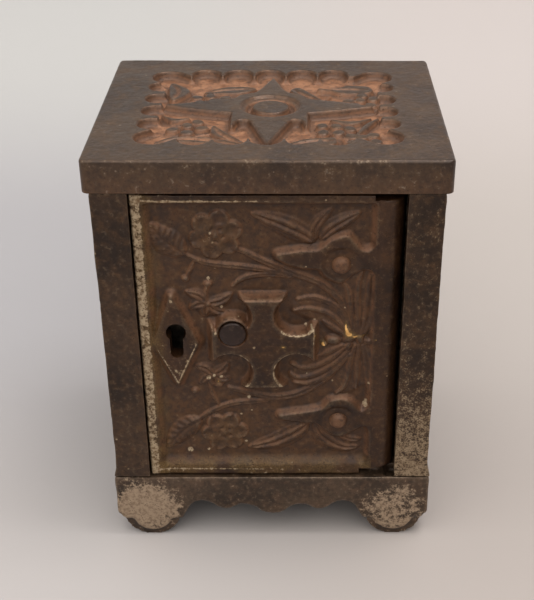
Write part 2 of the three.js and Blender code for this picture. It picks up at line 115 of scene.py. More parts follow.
def curve(points, closed=False, per_span=8):
    """A smooth curve (Catmull-Rom) through the points."""
    p = np.array(points, float)
    ends = (p[-1:], p[:2]) if closed else (2 * p[:1] - p[1:2], 2 * p[-1:] - p[-2:-1])
    p = np.vstack([ends[0], p, ends[1]])
    t = np.linspace(0, 1, per_span, endpoint=False)[:, None]
    spans = []
    for a, b, c, d in zip(p[:-3], p[1:-2], p[2:-1], p[3:]):
        straight = 2 * b + (c - a) * t
        spans.append(0.5 * (straight + (2 * a - 5 * b + 4 * c - d) * t**2 + (3 * b - a - 3 * c + d) * t**3))
    whole = np.vstack(spans)
    return whole if closed else np.vstack([whole, p[-2]])


class Relief:
    """Heights over a face, in mm in front of its plane, on a grid whose lines may bend."""

    def __init__(self, across, up, height):
        self.across, self.up, self.height = across, up, height

    def window(self, points, reach):
        """The part of the grid within reach of the points."""
        low, high = points.min(0) - reach, points.max(0) + reach
        near = (self.across > low[0]) & (self.across < high[0]) & (self.up > low[1]) & (self.up < high[1])
        rows, cols = np.where(near.any(1))[0], np.where(near.any(0))[0]
        if not len(rows):
            return None
        return slice(rows[0], rows[-1] + 1), slice(cols[0], cols[-1] + 1)

    def raise_to(self, window, height):
        self.height[window] = np.maximum(self.height[window], height)

    def swell(self, window, q, share, top, foot):
        """Raises the face from foot by a share of the way to top, where q is under 1."""
        self.raise_to(window, np.where(q < 1, foot + (top - foot) * share, NOTHING))

    def turned(self, x, z, reach, angle):
        """The window round a point, and the distances from it along a direction and over that direction."""
        window = self.window(np.array([[x, z]], float), reach)
        dx, dz = self.across[window] - x, self.up[window] - z
        along = dx * math.cos(angle) + dz * math.sin(angle)
        return window, along, dz * math.cos(angle) - dx * math.sin(angle)

    def follow(self, points, reach):
        """Each grid point's distance from a curve and how far along the curve it lies, from 0 to 1."""
        window = self.window(points, reach)
        x, z = self.across[window], self.up[window]
        steps = np.diff(points, axis=0)
        lengths = np.hypot(*steps.T)
        run = np.concatenate([[0], np.cumsum(lengths)])
        best = np.full(x.shape, 1e9)
        side = np.zeros(x.shape)
        share = np.zeros(x.shape)
        for (ax, az), (dx, dz), length, start in zip(points, steps, lengths, run):
            t = np.clip(((x - ax) * dx + (z - az) * dz) / length**2, 0, 1)
            off_x, off_z = x - ax - t * dx, z - az - t * dz
            distance = np.hypot(off_x, off_z)
            closer = distance < best
            best = np.where(closer, distance, best)
            side = np.where(closer, np.sign(dx * off_z - dz * off_x), side)
            share = np.where(closer, (start + t * length) / run[-1], share)
        return window, best, side, share

    def inside(self, points, reach=2.0):
        """Each grid point's distance inside a closed outline, negative outside."""
        closed = np.vstack([points, points[:1]])
        window, distance, _, _ = self.follow(closed, reach)
        x, z = self.across[window], self.up[window]
        within = np.zeros(x.shape, bool)
        for (ax, az), (bx, bz) in zip(closed[:-1], closed[1:]):
            if az != bz:
                crosses = (az > z) != (bz > z)
                within ^= crosses & (x < (bx - ax) * (z - az) / (bz - az) + ax)
        return window, np.where(within, distance, -distance)

    def plateau(self, points, top, foot, draft, inset=0.0):
        """A flat-topped island whose wall slopes from inset inside the outline to draft outside it."""
        window, depth = self.inside(np.asarray(points, float), draft + 0.5)
        fall = smoothstep(-inset, draft, -depth)
        self.raise_to(window, np.where(depth > -draft, top + (foot - top) * fall, NOTHING))

    def stem(self, points, half_width, top, foot, ribs=True, tips=(0.5, 0.5)):
        """A stem along a curve, round or with two ridges, thinner towards its ends."""
        window, distance, _, share = self.follow(curve(points), half_width + 0.5)
        width = half_width * np.interp(share, [0, 0.3, 0.7, 1], [tips[0], 1, 1, tips[1]])
        q = distance / width
        round_top = np.clip(1 - q**2, 0, 1) ** 0.75
        ridge = 0.72 - 0.28 * np.cos(2 * np.pi * q) if ribs else 1.0
        self.swell(window, q, round_top * ridge, top, foot)

    def leaf(self, points, half_width, top, foot, veins=0):
        """A pointed leaf along its spine: slanting veins each side of it, or two folds along it."""
        window, distance, _, share = self.follow(curve(points), half_width + 0.5)
        width = half_width * np.sin(np.pi * np.clip(share, 0.0, 1) ** 0.75) ** 0.7 + 0.15
        q = distance / width
        body = np.clip(1 - q**2, 0, 1) ** 0.7
        midrib = 1 - 0.4 * np.exp(-((distance / 0.45) ** 2))
        if veins:
            fold = 1 - 0.22 * np.cos(2 * np.pi * (veins * share - 0.9 * q)) * np.clip(q * 2.2, 0, 1)
        else:
            fold = 0.8 - 0.24 * np.cos(3 * np.pi * q)
        self.swell(window, q, body * midrib * fold, top, foot)

    def carve(self, points, half_width, depth):
        """A round-bottomed groove along a curve."""
        window, distance, _, share = self.follow(curve(points), half_width + 0.3)
        fade = np.sin(np.pi * np.clip(share, 0.04, 0.96)) ** 0.5
        self.height[window] -= depth * fade * np.clip(1 - (distance / half_width) ** 2, 0, 1)

    def dome(self, x, z, radius, top, foot, squash=1.0, turn=0.0, power=2):
        """An oval bump, flatter with a higher power; squash is its width over its length, turn its way."""
        window, along, over = self.turned(x, z, radius + 0.3, turn)
        q = np.hypot(along, over / squash) / radius
        self.swell(window, q, np.sqrt(np.clip(1 - q**power, 0, 1)), top, foot)

    def rosette(self, x, z, radius, top, foot, turn=0.0):
        """An open flower: six outer petals, five inner ones and a button, each cupped."""
        rings = ((6, 0.66, 0.36, 1.0), (5, 0.31, 0.21, 1.05))
        for ring, (count, out, size, lift) in enumerate(rings):
            for i in range(count):
                angle = turn + 2 * math.pi * (i + 0.5 * ring) / count
                px, pz = x + radius * out * math.cos(angle), z + radius * out * math.sin(angle)
                self.petal(px, pz, radius * size, foot + (top - foot) * lift, foot, angle)
        self.dome(x, z, radius * 0.17, top, foot)

    def petal(self, x, z, radius, top, foot, angle):
        """A petal turned outwards: full at its rim, hollow in the middle, notched on its axis."""
        window, along, over = self.turned(x, z, radius * 1.2, angle)
        q = np.hypot(along * 0.95, over * 0.9) / radius
        body = np.clip(1 - q**8, 0, 1) ** 0.6 * (0.25 + 0.8 * q**2)
        crease = 1 - 0.6 * np.exp(-((over / (0.2 * radius)) ** 2)) * smoothstep(-0.3, 1, along / radius)
        self.swell(window, q, body * crease, top, foot)


# ---------------------------------------------------------------- meshes


def mesh_object(name, points, faces, attributes=None):
    """A mesh from points in mm and faces, with its normals out and its colour fields stored."""
    mesh = bpy.data.meshes.new(name)
    mesh.from_pydata(place(points).tolist(), [], faces)
    made = bpy.data.objects.new(name, mesh)
    bpy.context.scene.collection.objects.link(made)
    store(mesh, attributes or {})
    face_out(mesh)
    return made


def face_out(mesh):
    work = bmesh.new()
    work.from_mesh(mesh)
    bmesh.ops.recalc_face_normals(work, faces=work.faces)
    if work.calc_volume(signed=True) < 0:
        bmesh.ops.reverse_faces(work, faces=work.faces)
    work.to_mesh(mesh)
    work.free()


def store(mesh, attributes):
    for name, values in attributes.items():
        layer = mesh.attributes.get(name) or mesh.attributes.new(name, "FLOAT", "POINT")
        layer.data.foreach_set("value", np.ascontiguousarray(values, np.float32).ravel())


def vectors(items, name):
    """One vector of each item, such as every vertex's place."""
    flat = np.empty(len(items) * 3, np.float32)
    items.foreach_get(name, flat)
    return flat.reshape(-1, 3).astype(float)


def apply_modifiers(made):
    """The object's mesh with its modifiers applied."""
    graph = bpy.context.evaluated_depsgraph_get()
    finished = bpy.data.meshes.new_from_object(made.evaluated_get(graph), depsgraph=graph)
    made.modifiers.clear()
    made.data = finished


def cut(made, tool, operation="DIFFERENCE"):
    """A boolean of two closed meshes; the tool is used up."""
    change = made.modifiers.new("cut", "BOOLEAN")
    change.operation, change.solver, change.object = operation, "MANIFOLD", tool
    apply_modifiers(made)
    bpy.data.objects.remove(tool)


def prism_y(name, outline, y0, y1):
    """A closed outline in x and z, pushed from y0 to y1."""
    n = len(outline)
    points = [(x, y, z) for y in (y0, y1) for x, z in outline]
    sides = [(i, (i + 1) % n, n + (i + 1) % n, n + i) for i in range(n)]
    return mesh_object(name, points, [tuple(range(n)), tuple(range(n, 2 * n))] + sides)


def block(name, x, y, z):
    return prism_y(name, [(x[0], z[0]), (x[1], z[0]), (x[1], z[1]), (x[0], z[1])], *y)


def turned_y(name, profile, x, z, steps=64):
    """A round piece about an axis along y: the profile is (radius, y), from the front to the back."""
    ring = np.arange(steps) * 2 * math.pi / steps
    points, rows = [], []
    for radius, y in profile:
        if radius == 0:
            rows.append([len(points)] * steps)
            points.append((x, y, z))
        else:
            rows.append(list(range(len(points), len(points) + steps)))
            points += [(x + radius * math.cos(a), y, z + radius * math.sin(a)) for a in ring]
    faces = []
    for upper, lower in zip(rows[:-1], rows[1:]):
        for i in range(steps):
            j = (i + 1) % steps
            face = [upper[i], upper[j], lower[j], lower[i]]
            faces.append(tuple(dict.fromkeys(face)))
    return mesh_object(name, points, faces)


def finish_piece(made, body, nodes, material, angle=40):
    """Smooth shading, material, and the piece's place in the frame."""
    made.data.materials.clear()
    made.data.materials.append(material)
    made.data.shade_smooth()
    made.data.set_sharp_from_angle(angle=math.radians(angle))
    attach(made, body)
    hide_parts(*nodes)
    return made


# ---------------------------------------------------------------- materials


class Graph:
    """A material's node tree, with short ways to add nodes."""

    def __init__(self, name):
        self.material = bpy.data.materials.new(name)
        self.material.use_nodes = True
        self.tree = self.material.node_tree
        self.tree.nodes.clear()
        self.shader = self.tree.nodes.new("ShaderNodeBsdfPrincipled")
        output = self.tree.nodes.new("ShaderNodeOutputMaterial")
        self.link(self.shader.outputs["BSDF"], output.inputs["Surface"])
        self.place = self.tree.nodes.new("ShaderNodeTexCoord").outputs["Object"]

    def link(self, source, socket):
        self.tree.links.new(source, socket)

    def feed(self, socket, value):
        if isinstance(value, bpy.types.NodeSocket):
            self.link(value, socket)
        elif isinstance(value, str):
            socket.default_value = (*srgb(value), 1)
        else:
            socket.default_value = value

    def noise(self, size_mm, detail=3.0, roughness=0.55, stretch=None):
        """Noise with lumps of about that size."""
        place = self.place
        if stretch:
            mapping = self.tree.nodes.new("ShaderNodeMapping")
            mapping.inputs["Scale"].default_value = stretch
            self.link(place, mapping.inputs["Vector"])
            place = mapping.outputs["Vector"]
        node = self.tree.nodes.new("ShaderNodeTexNoise")
        node.inputs["Scale"].default_value = 1 / (size_mm * MM)
        node.inputs["Detail"].default_value = detail
        node.inputs["Roughness"].default_value = roughness
        self.link(place, node.inputs["Vector"])
        return node.outputs["Fac"]

    def cells(self, size_mm):
        node = self.tree.nodes.new("ShaderNodeTexVoronoi")
        node.inputs["Scale"].default_value = 1 / (size_mm * MM)
        self.link(self.place, node.inputs["Vector"])
        return node.outputs["Distance"]

    def axes(self):
        """The object's own x and y."""
        node = self.tree.nodes.new("ShaderNodeSeparateXYZ")
        self.link(self.place, node.inputs["Vector"])
        return node.outputs["X"], node.outputs["Y"]

    def attribute(self, name):
        node = self.tree.nodes.new("ShaderNodeAttribute")
        node.attribute_name = name
        return node.outputs["Fac"]

    def math(self, operation, *values):
        node = self.tree.nodes.new("ShaderNodeMath")
        node.operation = operation
        for socket, value in zip(node.inputs, values):
            self.feed(socket, value)
        return node.outputs[0]

    def times(self, first, second):
        return self.math("MULTIPLY", first, second)

    def plus(self, first, second):
        return self.math("ADD", first, second)

    def minus(self, first, second):
        return self.math("SUBTRACT", first, second)

    def most(self, first, second):
        return self.math("MAXIMUM", first, second)

    def span(self, value, low, high, start=0.0, end=1.0):
        """value from low to high, eased to start to end."""
        node = self.tree.nodes.new("ShaderNodeMapRange")
        node.interpolation_type = "SMOOTHSTEP"
        node.clamp = True
        for name, v in (("From Min", low), ("From Max", high), ("To Min", start), ("To Max", end)):
            node.inputs[name].default_value = v
        self.feed(node.inputs["Value"], value)
        return node.outputs["Result"]

    def mix(self, share, first, second):
        node = self.tree.nodes.new("ShaderNodeMix")
        node.data_type = "RGBA"
        self.feed(node.inputs["Factor"], share)
        self.feed(node.inputs["A"], first)
        self.feed(node.inputs["B"], second)
        return node.outputs["Result"]

    def finish(self, colour, roughness, height, depth_mm, metallic):
        """Connects the look; height is a field from 0 to 1 that stands depth_mm high."""
        bump = self.tree.nodes.new("ShaderNodeBump")
        bump.inputs["Distance"].default_value = depth_mm * MM
        self.link(height, bump.inputs["Height"])
        self.link(bump.outputs["Normal"], self.shader.inputs["Normal"])
        self.feed(self.shader.inputs["Base Color"], colour)
        self.feed(self.shader.inputs["Roughness"], roughness)
        self.feed(self.shader.inputs["Metallic"], metallic)
        return self.material


def srgb(code):
    parts = [int(code[i : i + 2], 16) / 255 for i in (0, 2, 4)]
    return [p / 12.92 if p <= 0.04045 else ((p + 0.055) / 1.055) ** 2.4 for p in parts]


def cast_iron(
    name, dark, mid, brown, bare, pale, hollow, low_from=0.9, islands=1.3, edges=0.2, shade=0.6,
    slope="6C4A32", flaky=1.1, gritty=0.45,
):  # fmt: skip
    """Old cast iron: a dark skin, brown where it thinned, and bare metal where hands and tables wore it.

    raised says how far a point stands above what is round it, in mm, and where it lies below what is round it
    the skin is darkened with painted shade; low how deep it lies under the face; rub how much a place was
    rubbed bare, from 0 to 1;
    the gilding field how much gilding is left, and above 0.8 it is a painted highlight in bright gold; wall
    how steep it is, and steep walls take a lighter slope colour that is partly a painted highlight.
    islands, flaky and gritty say how much large, small and tiny noise break up the edges of the bare places.
    """
    g = Graph(name)
    raised, low, rub, gilt_and_highlight, wall = (g.attribute(field) for field in ("raised", "low", "rub", "gilt_and_highlight", "wall"))
    broad, fine = g.noise(22, 5.0), g.noise(3.2, 6.0, 0.62)
    patch, speck = g.noise(1.3, 5.0, 0.6), g.noise(0.5, 3.0, 0.6)
    skin = g.mix(g.span(broad, 0.38, 0.62), dark, mid)
    skin = g.mix(g.span(fine, 0.40, 0.75, 0.0, 0.55), skin, brown)
    tan = g.mix(g.span(fine, 0.32, 0.66), hollow[0], hollow[1])
    sunk = g.span(low, low_from, low_from + 0.9)
    skin = g.mix(sunk, skin, tan)
    # Steep walls take the lighter, reddish slope colour: partly the casting's colour, partly a painted
    # highlight for the light on the bevels.
    skin = g.mix(g.times(wall, g.span(fine, 0.3, 0.6, 0.3, 0.7)), skin, slope)
    skin = g.mix(g.span(patch, 0.48, 0.34, 0.0, 0.5), skin, dark)
    skin = g.mix(g.span(patch, 0.52, 0.72, 0.0, 0.35), skin, bare)
    skin = g.mix(g.math("MINIMUM", gilt_and_highlight, 0.8), skin, g.mix(g.span(speck, 0.35, 0.65), "54401F", "7C6238"))
    # Painted shade: where a point lies below what is round it, the skin is darkened towards dark by the given
    # share.
    skin = g.mix(g.span(raised, -0.45, -0.05, shade, 0.0), skin, dark)
    ragged = g.plus(g.times(fine, 0.5), g.times(speck, 0.5))
    island = g.times(g.minus(fine, 0.5), islands)
    flecks = g.times(g.minus(speck, 0.5), gritty)
    flakes = g.times(g.minus(patch, 0.5), flaky)
    chance = g.plus(g.plus(rub, island), g.plus(flakes, flecks))
    worn = g.span(chance, 0.32, 0.62)
    edge = g.span(g.plus(raised, g.minus(ragged, 0.5)), 0.2, 0.6, 0.0, edges)
    # Random pale specks in bare-metal colour: painted glints.
    painted_glints = g.times(g.span(g.cells(6.5), 0.035, 0.055, 0.9, 0.0), g.span(g.noise(9), 0.48, 0.52))
    shown = g.most(g.most(edge, worn), painted_glints)
    tone = g.plus(g.times(patch, 0.7), g.times(speck, 0.3))
    metal = g.mix(g.span(tone, 0.36, 0.6), bare, pale)
    skin = g.mix(shown, skin, metal)
    # Painted highlight: where the gilding field passes 0.8, by the leaves' joint, the colour goes to a bright
    # gold.
    skin = g.mix(g.span(gilt_and_highlight, 0.8, 1.0), skin, "D9A763")
    pits = g.times(g.span(g.cells(0.75), 0.12, 0.26, 1.0, 0.0), g.span(g.noise(2.6), 0.46, 0.56))
    skin = g.mix(g.times(pits, 0.75), skin, dark)
    height = g.minus(g.times(ragged, 0.8), g.times(pits, 0.5))
    gloss = g.plus(g.span(fine, 0.3, 0.7, 0.34, 0.48), g.times(pits, 0.25))
    gloss = g.plus(gloss, g.times(g.most(worn, sunk), 0.18))
    metallic = g.plus(g.minus(0.4, g.times(sunk, 0.25)), g.times(shown, 0.2))
    return g.finish(skin, gloss, height, 0.13, metallic)


def steel(name, light, dark, stretch=None):
    """Plain steel, brushed or turned, with some dark oxide in patches."""
    g = Graph(name)
    lines = g.noise(0.5, 2.0, 0.5, stretch or (1, 1, 1))
    stain = g.span(g.noise(2.5, 4.0), 0.42, 0.68)
    colour = g.mix(stain, g.mix(lines, light, dark), dark)
    return g.finish(colour, g.span(stain, 0, 1, 0.32, 0.55), lines, 0.03, 0.85)


# ---------------------------------------------------------------- sheets of relief

EDGE_STEPS = np.array([0.0, 0.05, 0.14, 0.28, 0.48])
EDGE_MARGIN = 0.75


def lattice(low, high, step):
    """Grid lines, closer together by both ends, where the edge is rounded."""
    count = round((high - low - 2 * EDGE_MARGIN) / step) + 1
    inner = np.linspace(low + EDGE_MARGIN, high - EDGE_MARGIN, count)
    return np.concatenate([low + EDGE_STEPS, inner, high - EDGE_STEPS[::-1]])


def round_over(distance, radius):
    """How far a rounded edge falls away at a distance from the edge."""
    short = np.clip(radius - distance, 0, radius)
    return radius - np.sqrt(radius**2 - short**2)


def slab(name, top, bottom_of, attributes, skirt=None):
    """A closed solid under a grid of points: the border drops to the bottom, which is a fan.

    skirt gives the colour fields' values along the bottom, where they are not nought.
    """
    rows, cols = top.shape[:2]
    index = np.arange(rows * cols).reshape(rows, cols)
    quads = np.stack([index[:-1, :-1], index[:-1, 1:], index[1:, 1:], index[1:, :-1]], -1).reshape(-1, 4)
    border = np.concatenate([index[0, :-1], index[:-1, -1], index[-1, :0:-1], index[:0:-1, 0]])
    flat = top.reshape(-1, 3)
    under = bottom_of(flat[border])
    middle = under.mean(0)
    first = len(flat)
    centre = first + len(border)
    ring = np.arange(first, centre)
    following = np.roll(ring, -1)
    walls = np.stack([border, ring, following, np.roll(border, -1)], -1)
    faces = quads.tolist() + walls.tolist() + [[a, centre, b] for a, b in zip(ring, following)]
    fields = {}
    for field, values in attributes.items():
        below = np.full(len(border) + 1, (skirt or {}).get(field, 0.0))
        fields[field] = np.concatenate([values.ravel(), below])
    return mesh_object(name, np.vstack([flat, under, middle]), faces, fields)


# ---------------------------------------------------------------- the door

CROSS_X, CROSS_Z = -1.9, 46.6
CROSS_HALF, CROSS_NOTCH, CROSS_NOTCH_AT, CROSS_ARM = 14.0, 6.2, 9.1, 5.3
CROSS_TOP = 1.5
BOSS_RADIUS, BOSS_TOP = 4.35, 1.25
KEY_X, KEY_Z, KEY_RADIUS, KEY_HALF_SLOT, KEY_FOOT = -25.8, 49.8, 2.75, 1.8, 41.6
STRAP_EYES = ((19.2, 70.9), (19.2, 19.9))
LEAF_TOP = -0.95
UPPER_NOTCH_X, LOWER_NOTCH_X = 27.5, 25.6  # the plate stops short of the column's ends to the right of these
UPPER_STRAP = [
    (29.4, 78.8), (28, 75.9), (26, 74.6), (24, 75.2), (22.5, 76.9), (20.3, 79.0), (17, 77.9), (15, 76.2),
    (13, 74.9), (9, 74.6), (5, 74.0), (2.2, 73.3), (4.5, 71.6), (8, 70.4), (13.5, 69.8), (15, 67.9),
    (17, 66.6), (19, 65.9), (20.5, 66.7), (22.5, 68.4), (25, 69.9), (27, 69.6), (28.5, 67.9), (29.4, 65.0),
]  # fmt: skip
LOWER_STRAP = [
    (29.4, 27.6), (28.6, 25.2), (27, 23.4), (25.5, 22.9), (24, 24.2), (22.5, 26.0), (20, 27.1), (17, 26.2),
    (14.5, 23.6), (10, 22.6), (4, 21.6), (2.4, 21.1), (4.5, 20.4), (9, 19.7), (13, 19.2), (15.5, 16.9),
    (17, 15.6), (19.5, 14.6), (21, 15.1), (23, 16.4), (25.5, 17.8), (27.5, 17.9), (28.3, 15.9), (29.4, 10.5),
]  # fmt: skip
SHIELD = [(-32.0, 46.1), (-26.0, 32.9), (-20.1, 46.2), (-26.7, 60.8)]


def door_field(r):
    """The sunken field inside the rim, its walls sloping as in the casting."""
    x, z = r.across, r.up
    walls = ((x + 33.0) / 2.6, (28.9 - x) / 2.6, (89.2 - z) / 1.3, (z - 2.9) / 4.0)
    rest = sum(np.clip(1 - w, 0, None) ** 2 for w in walls) ** 0.5
    r.height = -FIELD_DEPTH * smoothstep(0, 1, 1 - rest)


def door_leaves(r):
    """Leaves, flowers and stems, as they grow over the field."""
    floor = -FIELD_DEPTH
    r.rosette(-14.0, 79.2, 7.0, LEAF_TOP + 0.25, floor, 0.3)
    r.rosette(-13.6, 14.9, 6.6, LEAF_TOP + 0.25, floor, 0.1)
    leaves = (
        ([(-22.3, 73.6), (-25, 75.6), (-28, 78.2), (-31, 82.5)], 4.0, 7),
        ([(-20.5, 19.5), (-24, 17), (-27.5, 13.5), (-30.6, 9.2)], 3.5, 7),
        ([(12, 77), (9, 79.3), (5, 81.4), (0, 83.6), (-4.6, 85.4)], 3.0, 0),
        ([(12, 77.5), (12, 80.5), (13.5, 83.5), (16.5, 86.8)], 1.7, 0),
        ([(13.5, 77.8), (16, 80.5), (19.5, 83), (24, 85.8)], 2.4, 0),
        ([(10.5, 18), (7, 14.8), (2.5, 12), (-2, 10.5), (-7, 9.3)], 3.1, 0),
        ([(12.5, 18), (14.5, 14), (17.5, 11.2), (21, 9.5), (25.5, 9.3)], 2.8, 0),
        ([(19.5, 14.3), (22.5, 12.5), (26, 12)], 1.6, 0),
    )
    for spine, half_width, veins in leaves:
        r.leaf(spine, half_width, LEAF_TOP, floor, veins)
    bodies = (
        [(22.8, 49.0), (20.6, 57), (18.9, 65.5), (21, 67.6), (25, 68.3), (27.9, 67), (28.2, 58), (27.2, 50),
         (25, 47.8)],
        [(22.5, 45), (20.6, 38), (18.2, 29.6), (21.5, 28.8), (25, 30.6), (27.8, 32.6), (28.2, 40), (27, 45),
         (25, 46.4)],
        [(22, 48.5), (19.8, 54.6), (15.4, 58.2), (10, 59.4), (6.6, 58.2), (6.4, 56), (11, 53.4), (15, 50.8),
         (20, 47.7)],
        [(22, 46), (20.6, 40.2), (16, 35.2), (11, 31.8), (6.6, 32), (5.6, 36), (8, 39.2), (13, 42.4),
         (19, 46)],
    )  # fmt: skip
    for outline in bodies:
        r.plateau(curve(outline, closed=True), -1.6, floor, 1.0, 0.7)
    stems = (
        ([(-22.5, 73.5), (-20, 72), (-17, 70.8), (-13, 70.1), (-8, 69.6), (-3, 68.9), (1, 68.2),
          (5, 67.2)], 0.95),
        ([(-9.5, 75.3), (-6, 73.8), (-3, 72), (0, 70.5), (5, 68.2), (10, 66.3), (13, 64.9), (16, 62.8),
          (18.5, 60), (20.2, 57), (21.3, 54), (22, 50.5), (22.5, 48)], 1.25),
        ([(-10, 63.7), (-8, 65.5), (-5, 66.8), (-1, 67.2), (3, 66.9), (6, 66.3)], 0.9),
        ([(22, 48.5), (21, 52), (19.5, 55.3), (17.5, 57.6), (15, 59), (12.5, 60), (10, 60),
          (7.5, 59.5)], 1.0),
        ([(22.5, 46.5), (21.5, 43), (19.5, 39), (17, 35.5), (14, 32.5), (11, 30.2), (8, 28.5), (4, 27.4),
          (0, 27.2), (-4, 28), (-8, 29.3), (-12, 30.6)], 1.3),
        ([(-21, 19.5), (-18, 21.8), (-15, 23.4), (-12, 24.7), (-8, 25.5), (-3, 25.8), (1, 26.3)], 0.95),
    )  # fmt: skip
    for points, half_width in stems:
        r.stem(points, half_width, LEAF_TOP - 0.1, floor)
    fans = (
        [(21, 49.5), (18.5, 53), (16, 55.2), (13, 56.4), (10, 56.9), (6.5, 56.4)],
        [(20.5, 48.5), (17, 51), (14.5, 53)],
        [(21.5, 43.2), (19, 40), (15.5, 37), (12, 35), (8, 34.2), (5.5, 35.6)],
        [(20.5, 44), (17, 40.7), (13, 38.2), (9, 37.5), (6, 38.8)],
        [(22, 42), (18.5, 37.5), (14.5, 34), (10.5, 32.3), (6.5, 32.7)],
        [(20, 45), (16.5, 43), (13.5, 41.5)],
        [(23.5, 49), (22.3, 54), (21.7, 59), (21, 63), (19, 66)],
        [(24.3, 49), (24, 54), (23.8, 60), (24, 65), (25, 68.3)],
        [(25.2, 49), (26, 54), (26.5, 60), (26.8, 65.5), (27.3, 68)],
        [(26, 49), (27.5, 53), (28.0, 58), (28.1, 63)],
        [(23.5, 45), (22.3, 40), (21.7, 35), (20.5, 31), (18.5, 28.8)],
        [(24.5, 45), (24.4, 40), (24.3, 35), (24, 30.5)],
        [(25.5, 45), (26.5, 40), (27.2, 35), (27.5, 30)],
        [(26.3, 45.5), (27.6, 42), (28.1, 38), (28.2, 35)],
    )
    for points in fans:
        r.stem(points, 1.15, LEAF_TOP + 0.05, floor, ribs=False, tips=(0.6, 0.45))
    calyx = ((22.0, 47.6, 2.6, 0.6), (24.8, 47.2, 2.0, 1.6), (21.3, 49.7, 1.9, 2.2), (21.5, 44.9, 1.8, 0.9),
             (27.4, 46.4, 1.9, 0.1), (17.4, 46.6, 2.4, 0.0), (14.9, 45.3, 1.0, 0.0))  # fmt: skip
    for x, z, radius, turn in calyx:
        r.dome(x, z, radius, LEAF_TOP + 0.45, floor, 0.62, turn)
    sprigs = (
        (-16.8, 58.2, ((-22.8, 61.9), (-22.0, 56.4), (-17.6, 53.9), (-12.0, 55.2), (-10.2, 61.4))),
        (-16.0, 35.0, ((-21.2, 38.0), (-12.0, 38.9), (-11.4, 33.6), (-15.2, 31.0), (-20.2, 31.9))),
    )
    for x, z, tips in sprigs:
        for tip_x, tip_z in tips:
            bend = (0.5 * (x + tip_x) + 0.12 * (tip_z - z), 0.5 * (z + tip_z) - 0.12 * (tip_x - x))
            r.leaf([(x, z), bend, (tip_x, tip_z)], 1.9, LEAF_TOP, floor)
        r.dome(x, z, 0.9, LEAF_TOP + 0.2, floor)
    for x, z in ((-22.4, 66), (-16.6, 64.3), (-14.8, 31.7), (-21.6, 29.5)):
        r.dome(x, z, 1.2, LEAF_TOP, floor, 0.8)
    r.stem([(-22.4, 66), (-21.2, 68.5), (-19.8, 71.6)], 0.5, LEAF_TOP - 0.3, floor, ribs=False)
    r.stem([(-16.6, 64.3), (-17.2, 62), (-17.5, 59)], 0.5, LEAF_TOP - 0.3, floor, ribs=False)
    r.stem([(-17.5, 33), (-16.5, 28), (-14.6, 23.8)], 0.5, LEAF_TOP - 0.3, floor, ribs=False)


def door_furniture(r):
    """The two straps, the cross with its boss, and the keyhole plate."""
    for outline, (eye_x, eye_z) in zip((UPPER_STRAP, LOWER_STRAP), STRAP_EYES):
        r.plateau(curve(outline, per_span=6), -0.1, -FIELD_DEPTH, 1.9, 0.1)
        window = r.window(np.array([[eye_x, eye_z]]), 6.6)
        ring = np.hypot(r.across[window] - eye_x, r.up[window] - eye_z)
        r.height[window] -= 0.7 * smoothstep(5.8, 3.9, ring)
    dx, dz = abs(r.across - CROSS_X), abs(r.up - CROSS_Z)
    notch = np.hypot(dx - CROSS_NOTCH_AT, dz - CROSS_NOTCH_AT) - CROSS_NOTCH
    outer = np.minimum(dx, dz) > CROSS_ARM
    gap = -np.maximum(-notch, np.minimum(dx, dz) - CROSS_ARM)
    depth = np.minimum(np.minimum(CROSS_HALF - dx, CROSS_HALF - dz), np.where(outer, gap, notch))
    fall = np.clip((0.1 - depth) / 1.5, 0, 1)
    face = CROSS_TOP - 0.10 * smoothstep(2.2, 4.5, depth)
    r.height = np.maximum(r.height, np.where(depth > -1.4, face + (-FIELD_DEPTH - face) * fall, -99))
    around = np.hypot(r.across - STUD_X, r.up - STUD_Z)
    boss = BOSS_TOP + (-FIELD_DEPTH - BOSS_TOP) * np.clip((around - BOSS_RADIUS) / 1.5, 0, 1)
    r.height = np.where(around < BOSS_RADIUS - 0.2, BOSS_TOP, np.maximum(r.height, boss))
    r.height -= 0.55 * smoothstep(4.0, 3.75, around)
    r.plateau(SHIELD, 0.15, -FIELD_DEPTH, 2.3, 0.1)
    return depth


def key_distance(x, z):
    """The distance from the keyhole's outline, negative inside it."""
    head = np.hypot(x - KEY_X, z - KEY_Z) - KEY_RADIUS
    low = KEY_FOOT + KEY_HALF_SLOT
    slot = np.hypot(x - KEY_X, z - np.clip(z, low, KEY_Z)) - KEY_HALF_SLOT
    return np.minimum(head, slot)


def key_outline():
    """The keyhole: a round head over a slot with a round end."""
    meet = math.asin(KEY_HALF_SLOT / KEY_RADIUS)
    head = np.linspace(-math.pi / 2 + meet, 3 * math.pi / 2 - meet, 40)
    end = np.linspace(math.pi, 2 * math.pi, 20)
    low = KEY_FOOT + KEY_HALF_SLOT
    outline = [(KEY_X + KEY_RADIUS * math.cos(a), KEY_Z + KEY_RADIUS * math.sin(a)) for a in head]
    return outline + [(KEY_X + KEY_HALF_SLOT * math.cos(a), low + KEY_HALF_SLOT * math.sin(a)) for a in end]


def spot(x, z, at_x, at_z, size_x, size_z):
    return np.exp(-(((x - at_x) / size_x) ** 2 + ((z - at_z) / size_z) ** 2))


# Specks of bare metal: x, z and size.
WHITE_SPECKS = [
    (-8.6, 21, 0.45), (-6.3, 27, 0.5), (-13.2, 57.3, 0.5), (-4.4, 46, 0.4), (26.8, 24.9, 0.8),
    (27, 26.2, 0.5), (9.7, 70.4, 0.35), (-17.6, 34.3, 0.8), (-15.9, 35.1, 0.5), (-14, 34.4, 0.6),
    (-7.4, 11.4, 0.35), (-18.6, 8.3, 0.4), (-23.9, 8.2, 1), (17.4, 32.6, 0.35), (9.8, 51.6, 0.4),
    (11.4, 51.9, 0.4), (12.2, 53.4, 0.35), (-26.7, 59.8, 0.5), (-16.4, 65.9, 0.6), (-15.4, 79.8, 0.4),
    (-14.8, 77.2, 0.4), (-14.9, 50.4, 0.4), (27.6, 32.6, 0.4), (20.4, 57, 0.3),
]  # fmt: skip
